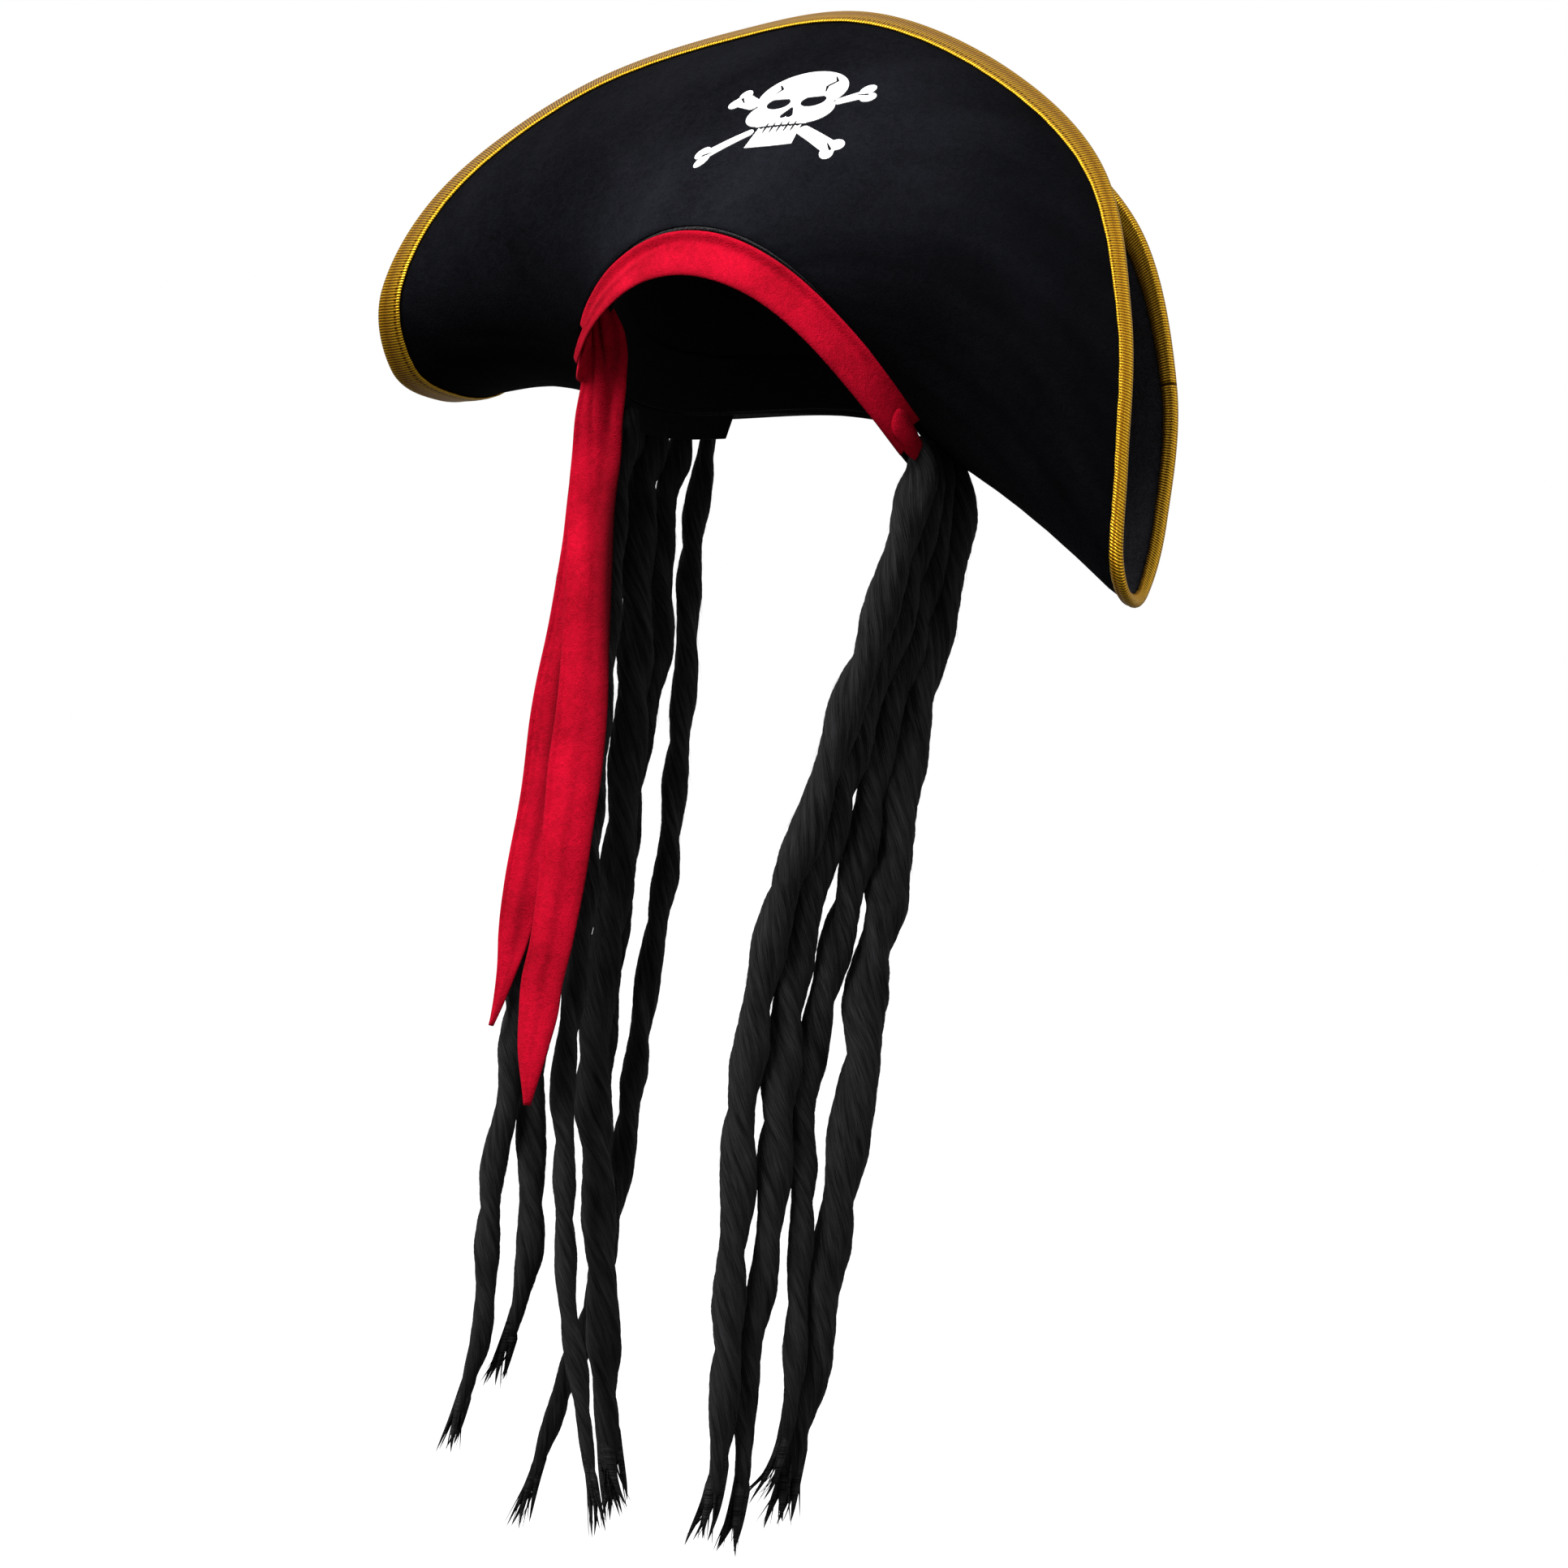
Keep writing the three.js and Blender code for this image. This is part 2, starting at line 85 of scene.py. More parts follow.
placeCamera(cameraSetup)


def addNode(tree, kind, inputs=None, **settings):
    # one node with its settings; an input is a plain value or another node's output
    node = tree.nodes.new(kind)
    for key, value in settings.items():
        setattr(node, key, value)
    for key, value in (inputs or {}).items():
        if isinstance(value, bpy.types.NodeSocket):
            tree.links.new(value, node.inputs[key])
        else:
            node.inputs[key].default_value = value
    return node


def mathNode(tree, operation, first, second=0.0):
    # the outcome of one sum on plain numbers or other nodes' outputs
    return addNode(tree, "ShaderNodeMath", {0: first, 1: second}, operation=operation).outputs[0]


def newGroup(name, inputs, outputs):
    # a node group with named sockets; inputs gives each one's kind and usual value
    group = bpy.data.node_groups.new(name, "ShaderNodeTree")
    for key, (kind, value) in inputs.items():
        socket = group.interface.new_socket(name=key, in_out="INPUT", socket_type=kind)
        if value is not None:
            socket.default_value = value
    for key, kind in outputs.items():
        group.interface.new_socket(name=key, in_out="OUTPUT", socket_type=kind)
    start = group.nodes.new("NodeGroupInput")
    end = group.nodes.new("NodeGroupOutput")
    return group, start, end


def makePileGroup():
    # pile cloth: soft clouds, short brushed flecks and single hairs added up, from dark to light,
    # then mixed towards the deep colour by the shade
    group, start, end = newGroup(
        "pileCloth",
        {"Vector": ("NodeSocketVector", None), "Dark": ("NodeSocketColor", (0, 0, 0, 1)),
         "Light": ("NodeSocketColor", (1, 1, 1, 1)), "Cloud Scale": ("NodeSocketFloat", 22.0),
         "Fleck Scale": ("NodeSocketFloat", 260.0), "Hair Scale": ("NodeSocketFloat", 1500.0),
         "Cloud": ("NodeSocketFloat", 0.5), "Fleck": ("NodeSocketFloat", 0.3),
         "Hair": ("NodeSocketFloat", 0.3),
         "Shade": ("NodeSocketFloat", 0.0), "Deep": ("NodeSocketColor", (0, 0, 0, 1))},
        {"Colour": "NodeSocketColor", "Height": "NodeSocketFloat"})
    take = start.outputs

    def noise(scale, detail, distortion):
        return addNode(group, "ShaderNodeTexNoise", {"Vector": take["Vector"], "Scale": take[scale],
                                                     "Detail": detail, "Distortion": distortion})

    cloud = noise("Cloud Scale", 4.0, 0.6)
    fleck = noise("Fleck Scale", 3.0, 1.2)
    hair = noise("Hair Scale", 1.0, 0.0)
    total = 0.0
    for source, share in ((cloud, "Cloud"), (fleck, "Fleck"), (hair, "Hair")):
        spread = addNode(group, "ShaderNodeMapRange",
                         {"Value": source.outputs["Fac"], "From Min": 0.3, "From Max": 0.7})
        part = mathNode(group, "MULTIPLY", spread.outputs[0], take[share])
        total = mathNode(group, "ADD", total, part)
    colour = addNode(group, "ShaderNodeMix", {0: total, 6: take["Dark"], 7: take["Light"]},
                     data_type="RGBA")
    shaded = addNode(group, "ShaderNodeMix", {0: take["Shade"], 6: colour.outputs[2], 7: take["Deep"]},
                     data_type="RGBA")
    height = mathNode(group, "ADD", hair.outputs["Fac"], fleck.outputs["Fac"])
    group.links.new(shaded.outputs[2], end.inputs["Colour"])
    group.links.new(height, end.inputs["Height"])
    return group


def makeStreakGroup():
    # fibres lying along a slanted line on the piece's own map, gathered in coarser tufts
    group, start, end = newGroup(
        "fibreStreaks",
        {"Vector": ("NodeSocketVector", None), "Dark": ("NodeSocketColor", (0, 0, 0, 1)),
         "Light": ("NodeSocketColor", (1, 1, 1, 1)), "Slant": ("NodeSocketVector", (0, 0, 0)),
         "Fibre": ("NodeSocketVector", (80, 2600, 1)), "Tuft": ("NodeSocketVector", (28, 420, 1))},
        {"Colour": "NodeSocketColor", "Height": "NodeSocketFloat"})
    take = start.outputs
    turned = addNode(group, "ShaderNodeVectorRotate", {"Vector": take["Vector"], "Rotation": take["Slant"]},
                     rotation_type="EULER_XYZ")
    heights = []
    for key, detail in (("Fibre", 2.0), ("Tuft", 3.0)):
        drawn = addNode(group, "ShaderNodeVectorMath", {0: turned.outputs[0], 1: take[key]},
                        operation="MULTIPLY")
        noise = addNode(group, "ShaderNodeTexNoise",
                        {"Vector": drawn.outputs[0], "Scale": 1.0, "Detail": detail})
        heights.append(noise.outputs["Fac"])
    both = mathNode(group, "ADD", mathNode(group, "MULTIPLY", heights[0], 0.5),
                    mathNode(group, "MULTIPLY", heights[1], 0.5))
    tone = addNode(group, "ShaderNodeMapRange", {"Value": both, "From Min": 0.4, "From Max": 0.66})
    colour = addNode(group, "ShaderNodeMix", {0: tone.outputs[0], 6: take["Dark"], 7: take["Light"]},
                     data_type="RGBA")
    group.links.new(colour.outputs[2], end.inputs["Colour"])
    group.links.new(both, end.inputs["Height"])
    return group


pileGroup = makePileGroup()
streakGroup = makeStreakGroup()


def newFinish(name, settings):
    # a material with its own Principled shader, whose plain sockets are set from settings
    finish = bpy.data.materials.new(name)
    finish.use_nodes = True
    shader = finish.node_tree.nodes["Principled BSDF"]
    for key, value in settings.items():
        shader.inputs[key].default_value = value
    return finish, finish.node_tree, shader


def wire(tree, shader, colour, height, strength, depth):
    # colour to the shader's base colour, and height through a bump to its normal
    tree.links.new(colour, shader.inputs["Base Color"])
    bump = addNode(tree, "ShaderNodeBump", {"Height": height, "Strength": strength, "Distance": depth})
    tree.links.new(bump.outputs["Normal"], shader.inputs["Normal"])


def pileFinish(name, look, settings):
    # velour or velvet: pile cloth on object coordinates, with painted shade where the piece's own "shade"
    # says so
    finish, tree, shader = newFinish(name, settings)
    place = addNode(tree, "ShaderNodeTexCoord")
    pile = addNode(tree, "ShaderNodeGroup", {}, node_tree=pileGroup)
    tree.links.new(place.outputs["Object"], pile.inputs["Vector"])
    shade = addNode(tree, "ShaderNodeAttribute", attribute_name="shade")
    tree.links.new(shade.outputs["Fac"], pile.inputs["Shade"])
    for key, value in look["pile"].items():
        pile.inputs[key].default_value = value
    wire(tree, shader, pile.outputs["Colour"], pile.outputs["Height"], look["bump"], look["depth"])
    return finish


def streakFinish(name, look, settings):
    # plush fibre: streaks on the piece's own map
    finish, tree, shader = newFinish(name, settings)
    place = addNode(tree, "ShaderNodeTexCoord")
    streak = addNode(tree, "ShaderNodeGroup", {}, node_tree=streakGroup)
    tree.links.new(place.outputs["UV"], streak.inputs["Vector"])
    for key, value in look["streak"].items():
        streak.inputs[key].default_value = value
    wire(tree, shader, streak.outputs["Colour"], streak.outputs["Height"], look["bump"], look["depth"])
    return finish


# Finishes: dark, light and deep colours (deep is the colour of full painted shade), noise scales and
# shares, then the shader's own plain values.
blackVelour = pileFinish(
    "blackVelour",
    {"pile": {"Dark": (0.0006, 0.0006, 0.0010, 1), "Light": (0.0125, 0.0130, 0.0175, 1),
              "Deep": (0.0001, 0.0001, 0.0003, 1), "Cloud Scale": 11.0,
              "Cloud": 0.62, "Fleck": 0.30, "Hair": 0.3},
     "bump": 0.6, "depth": 0.0007},
    {"Roughness": 0.95, "Specular IOR Level": 0.03, "Sheen Weight": 0.006, "Sheen Roughness": 0.45,
     "Sheen Tint": (0.75, 0.82, 1.0, 1)})
# the same black velour painted three to four times lighter: painted light on the brim's inner face
paintedLitVelour = pileFinish(
    "paintedLitVelour",
    {"pile": {"Dark": (0.002, 0.002, 0.0025, 1), "Light": (0.045, 0.046, 0.055, 1), "Cloud Scale": 11.0,
              "Cloud": 0.5, "Fleck": 0.30, "Hair": 0.3}, "bump": 0.6, "depth": 0.0007},
    {"Roughness": 0.95, "Specular IOR Level": 0.05, "Sheen Weight": 0.01, "Sheen Roughness": 0.45})
redVelvet = pileFinish(
    "redVelvet",
    {"pile": {"Dark": (0.22, 0.0005, 0.006, 1), "Light": (0.66, 0.003, 0.026, 1),
              "Deep": (0.05, 0.0002, 0.002, 1), "Cloud Scale": 30.0,
              "Cloud": 0.45, "Fleck": 0.30, "Hair": 0.30}, "bump": 0.6, "depth": 0.0006},
    {"Roughness": 0.9, "Specular IOR Level": 0.06, "Sheen Weight": 0.05, "Sheen Roughness": 0.4,
     "Sheen Tint": (1.0, 0.25, 0.35, 1)})
whiteInk = pileFinish(
    "whiteInk",
    {"pile": {"Dark": (0.68, 0.68, 0.68, 1), "Light": (0.97, 0.97, 0.97, 1), "Cloud Scale": 60.0,
              "Cloud": 0.3, "Fleck": 0.25, "Hair": 0.45}, "bump": 0.3, "depth": 0.0003},
    {"Roughness": 0.7, "Specular IOR Level": 0.2})
greyFoam = pileFinish(
    "greyFoam",
    {"pile": {"Dark": (0.02, 0.02, 0.022, 1), "Light": (0.09, 0.09, 0.095, 1), "Fleck Scale": 700.0,
              "Cloud": 0.2, "Fleck": 0.6, "Hair": 0.3}, "bump": 0.8, "depth": 0.0008},
    {"Roughness": 1.0, "Specular IOR Level": 0.1})
liningCloth = pileFinish(
    "liningCloth",
    {"pile": {"Dark": (0.0010, 0.0010, 0.0012, 1), "Light": (0.006, 0.006, 0.007, 1), "Fleck Scale": 900.0,
              "Cloud": 0.3, "Fleck": 0.4, "Hair": 0.3}, "bump": 0.5, "depth": 0.0004},
    {"Roughness": 0.85, "Specular IOR Level": 0.2})
blackPlush = streakFinish(
    "blackPlush",
    {"streak": {"Dark": (0.0006, 0.0006, 0.0007, 1), "Light": (0.026, 0.026, 0.028, 1),
                "Slant": (0.0, 0.0, 0.40)}, "bump": 1.0, "depth": 0.0022},
    {"Roughness": 0.7, "Specular IOR Level": 0.12, "Sheen Weight": 0.02, "Sheen Roughness": 0.5})


def makeGold(look):
    # lame braid on its own map: (ribs + glints) times a darker middle of each leg, plus bright
    # selvedges, less a row of stitches, through a ramp from groove to crest
    finish, tree, shader = newFinish("goldLame", look["plain"])
    place = addNode(tree, "ShaderNodeTexCoord")
    split = addNode(tree, "ShaderNodeSeparateXYZ", {"Vector": place.outputs["UV"]})

    def away(value, middle):
        # distance of a value from a middle
        return mathNode(tree, "ABSOLUTE", mathNode(tree, "SUBTRACT", value, middle))

    ribs = addNode(tree, "ShaderNodeTexWave",
                   {"Vector": place.outputs["UV"], "Scale": 2 * math.pi / (20 * look["ribPitch"]),
                    "Distortion": 0.6, "Detail": 2.0, "Detail Scale": 3.0}, bands_direction="X")
    glints = addNode(tree, "ShaderNodeTexNoise",
                     {"Vector": place.outputs["UV"], "Scale": look["glintScale"], "Detail": 2.0})
    folded = away(split.outputs["Y"], look["foldAt"])
    edge = look["legWide"]
    selvedge = addNode(tree, "ShaderNodeMapRange",
                       {"Value": folded, "From Min": edge - look["selvedge"][0],
                        "From Max": edge - look["selvedge"][1]})
    middle = addNode(tree, "ShaderNodeMapRange",
                     {"Value": away(folded, edge * look["middleAt"]), "From Min": 0.0,
                      "From Max": look["middleWide"], "To Min": look["middleDark"], "To Max": 1.0})
    ribShare = mathNode(tree, "MULTIPLY", ribs.outputs["Fac"], look["ribShare"])
    glintShare = mathNode(tree, "MULTIPLY", glints.outputs["Fac"], 1 - look["ribShare"])
    tone = mathNode(tree, "MULTIPLY", mathNode(tree, "ADD", ribShare, glintShare), middle.outputs[0])
    stitchRow = addNode(tree, "ShaderNodeMapRange",
                        {"Value": away(folded, edge - look["stitchIn"]), "From Min": look["stitchHalf"][0],
                         "From Max": look["stitchHalf"][1], "To Min": 1.0, "To Max": 0.0})
    dashes = addNode(tree, "ShaderNodeTexWave",
                     {"Vector": place.outputs["UV"], "Scale": 2 * math.pi / (20 * look["stitchPitch"])},
                     bands_direction="X")
    stitches = mathNode(tree, "MULTIPLY", stitchRow.outputs[0], dashes.outputs["Fac"])
    bright = mathNode(tree, "MULTIPLY", selvedge.outputs[0], look["selvedgeBright"])
    dark = mathNode(tree, "MULTIPLY", stitches, look["stitchDark"])
    lifted = mathNode(tree, "SUBTRACT", mathNode(tree, "ADD", tone, bright), dark)
    colour = addNode(tree, "ShaderNodeValToRGB", {"Fac": lifted})
    ramp = colour.color_ramp
    ramp.elements[0].position, ramp.elements[0].color = look["groove"]
    ramp.elements[1].position, ramp.elements[1].color = look["crest"]
    between = ramp.elements.new(look["thread"][0])
    between.color = look["thread"][1]
    wire(tree, shader, colour.outputs["Color"], tone, look["bump"], look["depth"])
    return finish


# Gold braid, lengths in metres on its own map: the fold lies half way across and a leg on each side.
# Stitch and selvedge sizes are counted from a leg's edge; each ramp colour has its place before it.
goldLook = {"ribPitch": 0.0014, "ribShare": 0.65, "glintScale": 900.0, "legWide": 0.0160, "foldAt": 0.0160,
            "selvedge": (0.0016, 0.0006), "selvedgeBright": 0.25,
            "middleAt": 0.55, "middleWide": 0.0035, "middleDark": 0.62,
            "stitchIn": 0.0022, "stitchPitch": 0.0028, "stitchHalf": (0.0003, 0.0007), "stitchDark": 0.5,
            "groove": (0.08, (0.07, 0.022, 0.001, 1)), "thread": (0.45, (0.58, 0.26, 0.008, 1)),
            "crest": (0.85, (1.0, 0.62, 0.035, 1)), "bump": 0.7, "depth": 0.0006,
            "plain": {"Metallic": 0.85, "Roughness": 0.36, "Specular IOR Level": 0.25}}
goldLame = makeGold(goldLook)
print("finishes made")


def unit(vectors):
    # each vector over its own length
    return vectors / np.maximum(np.linalg.norm(vectors, axis=-1, keepdims=True), 1e-12)


def splineAt(points, place, closed):
    # uniform Catmull-Rom line through the points, at place 0..1
    points = np.asarray(points, float)
    count = len(points)
    spans = count if closed else count - 1
    where = np.clip(place, 0, 1 - 1e-9) * spans if not closed else (place % 1.0) * spans
    low = np.floor(where).astype(int)
    t = (where - low)[..., None]
    if closed:
        four = [points[(low + k) % count] for k in (-1, 0, 1, 2)]
    else:
        longer = np.vstack([2 * points[0] - points[1], points, 2 * points[-1] - points[-2]])
        four = [longer[low + k] for k in (0, 1, 2, 3)]
    start, end = 0.5 * (four[2] - four[0]), 0.5 * (four[3] - four[1])
    return (four[1] + start * t + (3 * (four[2] - four[1]) - 2 * start - end) * t ** 2
            + (2 * (four[1] - four[2]) + start + end) * t ** 3)


def wave(seed, *terms):
    # a smooth repeatable wobble, -1..1: four sines of the given coordinates
    total = 0.0
    for k in range(4):
        mixed = sum(term * (1 + 0.37 * ((seed * 7 + k * 3 + n * 5) % 6)) for n, term in enumerate(terms))
        total = total + np.sin(mixed + seed * 1.7 + k * 2.1)
    return total / 4


def gridFaces(along, around, closeAlong, closeAround):
    # quads over a grid, and each corner's two grid numbers for its map
    i, j = np.meshgrid(np.arange(along if closeAlong else along - 1),
                       np.arange(around if closeAround else around - 1), indexing="ij")
    i, j = i.ravel(), j.ravel()
    corners = [(i, j), (i + 1, j), (i + 1, j + 1), (i, j + 1)]
    faces = np.stack([(a % along) * around + b % around for a, b in corners], axis=1)
    return faces, np.stack([np.stack(c, axis=1) for c in corners], axis=1)


def travel(points, axis, close):
    # distance walked over the grid along one axis, averaged over the other
    ahead = np.concatenate([points, points.take([0], axis=axis)], axis=axis) if close else points
    steps = np.linalg.norm(np.diff(ahead, axis=axis), axis=2).mean(axis=1 - axis)
    return np.concatenate([[0.0], np.cumsum(steps)])


def addPiece(name, points, faces, uv, finish):
    # a smooth mesh at the origin, with a map and one material
    mesh = bpy.data.meshes.new(name)
    mesh.from_pydata(points.tolist(), [], faces.tolist())
    mesh.uv_layers.new(name="UVMap").data.foreach_set("uv", np.asarray(uv, np.float32).ravel())
    mesh.polygons.foreach_set("use_smooth", np.ones(len(mesh.polygons), bool))
    mesh.materials.append(finish)
    piece = bpy.data.objects.new(name, mesh)
    bpy.context.scene.collection.objects.link(piece)
    return piece


def shadePiece(piece, shade):
    # stores painted shade: how dark each point of a cloth given as [along, across] is, the same on both its
    # faces
    both = np.clip(shellOf(shade, shade), 0, 1).astype(np.float32)
    piece.data.attributes.new("shade", "FLOAT", "POINT").data.foreach_set("value", both.ravel())


def sweepPiece(name, points, finish, closeAlong=False):
    # a closed body from points[along, around]: the section closes on itself, and so does the body
    # along its length, or its ends are zipped shut
    along, around = points.shape[:2]
    faces, corners = gridFaces(along, around, closeAlong, True)
    u, v = travel(points, 0, closeAlong), travel(points, 1, True)
    uv = np.stack([u[corners[..., 0]], v[corners[..., 1]]], axis=-1)
    if not closeAlong:
        k = np.arange(around // 2 - 1)
        cap = np.stack([k, k + 1, around - 2 - k, around - 1 - k], axis=1)
        far = (cap + (along - 1) * around)[:, ::-1]
        faces = np.vstack([faces, cap, far])
        capUv = np.zeros((2 * len(cap), 4, 2))
        uv = np.concatenate([uv, capUv])
    flat = points.reshape(-1, 3)
    a, b, c, d = (flat[faces[:, n]] for n in range(4))
    volume = (np.cross(a, b) * c).sum() + (np.cross(a, c) * d).sum()
    if volume < 0:
        faces, uv = faces[:, ::-1], uv[:, ::-1]
    return addPiece(name, flat, faces, uv, finish)


def shellOf(outer, inner):
    # two faces of a cloth, given as [along, across], joined round into one section
    return np.concatenate([outer, inner[:, ::-1]], axis=1)


# The hat's own shape in millimetres and degrees, the same as in the part's source. The pinch is a
# share of the layers' thickness, over the last pinchWide under the binding.
hatShape = {"pitch": 15.3, "cock": 3.7, "halfWidth": 92, "halfLength": 103, "dip": 43.5, "swell": 8,
            "archRight": 3, "archLeft": 10, "foam": 3, "gap": 0.3, "velour": 0.8,
            "pinch": 0.5, "pinchWide": 13, "crownHeight": 120, "crownSquash": 0.4}
# the brim's edge, from the right tip over the front to the left tip and back over the rear
edgeRoute = np.array([
    [210, -11, -107], [208, -31, -95], [200, -39, -54], [181, -39, 12], [142, -33, 86], [76, -28, 133],
    [0, -28, 154], [-68, -28, 138], [-139, -33, 98], [-185, -48, 31], [-205, -42, -26], [-207, -10, -55],
    [-202, 25, -53], [-201, 58, -35], [-196, 65, -8], [-178, 56, 44], [-138, 40, 90], [-70, 28, 126],
    [0, 24, 148], [76, 24, 131], [142, 27, 86], [183, 29, 11], [201, 22, -56], [208, 10, -96]], float)


def hatToFrame(points):
    # pitched back about X, then cocked about Y, and turned to metres
    pitch, cock = math.radians(-hatShape["pitch"]), math.radians(hatShape["cock"])
    aboutX = np.array([[1, 0, 0], [0, math.cos(pitch), -math.sin(pitch)],
                       [0, math.sin(pitch), math.cos(pitch)]])
    aboutY = np.array([[math.cos(cock), 0, math.sin(cock)], [0, 1, 0],
                       [-math.sin(cock), 0, math.cos(cock)]])
    return points @ (aboutY @ aboutX).T * mm


def rimPoint(angle, inset, rise):
    # an oval whose sides dip: x = a cos, y = b sin, z = rise - dip cos squared
    angle, inset, rise = np.broadcast_arrays(angle, inset, rise)
    return np.stack([(hatShape["halfWidth"] - inset) * np.cos(angle),
                     (hatShape["halfLength"] - inset) * np.sin(angle),
                     rise - hatShape["dip"] * np.cos(angle) ** 2], axis=-1)


def brimPoint(turn, out):
    # straight from rim to edge, with a swell to front and back and an arch at the sides,
    # both as sin(pi out)
    turn, out = np.broadcast_arrays(turn, out)
    angle = -2 * np.pi * turn
    share = out[..., None]
    point = rimPoint(angle, 0.0, 0.0) * (1 - share) + splineAt(edgeRoute, turn, True) * share
    swell = np.sin(np.pi * np.clip(out, 0, 1))
    point[..., 1] += hatShape["swell"] * swell * np.sin(angle) * np.abs(np.sin(angle))
    arch = np.where(np.cos(angle) > 0, hatShape["archRight"], hatShape["archLeft"])
    point[..., 2] += arch * swell * np.cos(angle) ** 2
    return point


def brimNormal(turn, out):
    # across the brim's two directions, each a small step either way
    step = 1e-3
    along = brimPoint(turn + step, out) - brimPoint(turn - step, out)
    across = brimPoint(turn, out + step) - brimPoint(turn, out - step)
    return unit(np.cross(across, along))


def brimSpan(turn):
    # straight distance from rim to edge
    return np.linalg.norm(brimPoint(turn, 1.0) - brimPoint(turn, 0.0), axis=-1)


def edgePinch(turn, out):
    # the layers are pressed thinner over the last stretch under the binding: 1 - pinch times a smooth step
    near = np.clip(1 - (1 - out) * brimSpan(turn) / hatShape["pinchWide"], 0, 1)
    return 1 - hatShape["pinch"] * near * near * (3 - 2 * near)


def brimRipple(turn, out):
    # slight hollows of padded cloth, and a faint crease near the left tip, none at rim and edge
    ripple = 0.35 * wave(3, 2 * np.pi * turn * 3, out * 5) + 0.18 * wave(5, 2 * np.pi * turn * 9, out * 14)
    crease = 0.7 * np.exp(-((turn - 0.447) / 0.004) ** 2) * np.exp(-((out - 0.42) / 0.25) ** 2)
    return (ripple - crease) * np.sin(np.pi * np.clip(out, 0, 1))


def brimShell(turn, out, low, high):
    # a layer from low to high above the brim's middle: point plus normal times (lift pinched + ripple)
    faces = []
    for lift in (high, low):
        stand = lift * edgePinch(turn, out) + brimRipple(turn, out)
        faces.append(brimPoint(turn, out) + brimNormal(turn, out) * stand[..., None])
    return hatToFrame(shellOf(*faces))


def paintedPileShade(turn, out):
    # painted shade over the dark pile, with painted light left of the front's middle, above it and towards
    # the left tip:
    # bells in turn and out taken off a dark start, plus random mottling
    near = np.exp(-((turn - 0.285) / 0.085) ** 2) * (0.35 + 0.65 * np.exp(-(out / 0.55) ** 2))
    above = 0.45 * np.exp(-((turn - 0.215) / 0.05) ** 2 - ((out - 0.5) / 0.35) ** 2)
    far = 0.3 * np.exp(-((turn - 0.40) / 0.05) ** 2 - ((out - 0.7) / 0.4) ** 2)
    mottle = 0.10 * wave(12, turn * 60, out * 8) + 0.08 * wave(13, turn * 150, out * 17)
    return 0.85 - 0.85 * near - above - far + mottle


def makeBrim():
    # two closed rings of velour, with half a ring of foam between them at the front and at the rear
    foamHalf = hatShape["foam"] / 2
    near = foamHalf + hatShape["gap"]
    far = near + hatShape["velour"]
    turn = np.arange(480)[:, None] / 480
    out = np.linspace(0, 1, 34)[None, :]
    for node, low, high in (("brim_outer_velour", near, far), ("brim_inner_velour", -far, -near)):
        # the inner layer takes the velour with painted light
        finish = blackVelour if low > 0 else paintedLitVelour
        piece = sweepPiece(node + ".cloth", brimShell(turn, out, low, high), finish, closeAlong=True)
        # the outer velour gets painted shade and painted light through its shade attribute
        if low > 0:
            shadePiece(piece, paintedPileShade(turn, out))
        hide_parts(node)
        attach(piece, "hat")
    for node, first, last in (("front_brim_foam", 0.001, 0.499), ("rear_brim_foam", 0.501, 0.999)):
        turn = np.linspace(first, last, 160)[:, None]
        shell = brimShell(turn, out[:, ::3] * 0.985, -foamHalf, foamHalf)      # just short of the edge
        piece = sweepPiece(node + ".sheet", shell, greyFoam)
        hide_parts(node)
        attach(piece, "hat")


makeBrim()
print("brim made")


# gold binding: where its ends butt as a part of a turn, and its sizes in millimetres
bindingLook = {"joint": 63 / 72, "slit": 0.0002, "leg": 12.0, "narrowing": 8.6, "narrowTurn": 0.165,
               "thick": 0.8, "lift": 3.0, "puff": 0.7, "reach": 1.8,
               "legSteps": 7, "bendSteps": 8, "stations": 900}


def bindingFace(turn, extra):
    # in along the outer face, round the edge in a half circle, back along the inner face; each leg
    # stands off the brim by lift plus a puff, and narrows round the right tip
    look = bindingLook
    walk = np.linspace(1, 0, look["legSteps"])
    edge, edgeFace = brimPoint(turn, 1.0), brimNormal(turn, 1.0)
    outward = unit(edge - brimPoint(turn, 0.97))
    fromTip = (turn + 0.5) % 1 - 0.5                   # part of a turn from the right tip
    narrow = look["narrowing"] / (1 + (fromTip / look["narrowTurn"]) ** 8)
    wide = look["leg"] - narrow + 0.25 * wave(2, turn * 260)
    columns = []
    for side in (1, -1):
        leg = []
        for w in walk:
            out = 1 - wide * w / brimSpan(turn)
            half = look["lift"] * edgePinch(turn, out) + extra
            rounded = math.sin(math.pi * min(1.0, 1.15 * (1 - w))) ** 0.7
            puff = look["puff"] * rounded * (0.4 + 0.6 * (1 - w))
            leg.append(brimPoint(turn, out) + brimNormal(turn, out) * (side * (half + puff))[:, None])
        columns.append(leg)
    bend = []
    for phase in np.linspace(0, math.pi, look["bendSteps"] + 2)[1:-1]:
        reach = (look["reach"] + extra) * math.sin(phase)
        half = look["lift"] * (1 - hatShape["pinch"]) + extra
        bend.append(edge + outward * reach + edgeFace * half * math.cos(phase))
    return np.stack(columns[0] + bend + columns[1][::-1], axis=1)


def makeBinding():
    # one strip round the whole edge, from one side of its butt joint to the other
    look = bindingLook
    turn = look["joint"] + np.linspace(look["slit"], 1 - look["slit"], look["stations"])
    shell = shellOf(bindingFace(turn, look["thick"]), bindingFace(turn, 0.0))
    piece = sweepPiece("gold_binding.braid", hatToFrame(shell), goldLame)
    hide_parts("gold_binding")
    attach(piece, "hat")


makeBinding()
print("binding made")


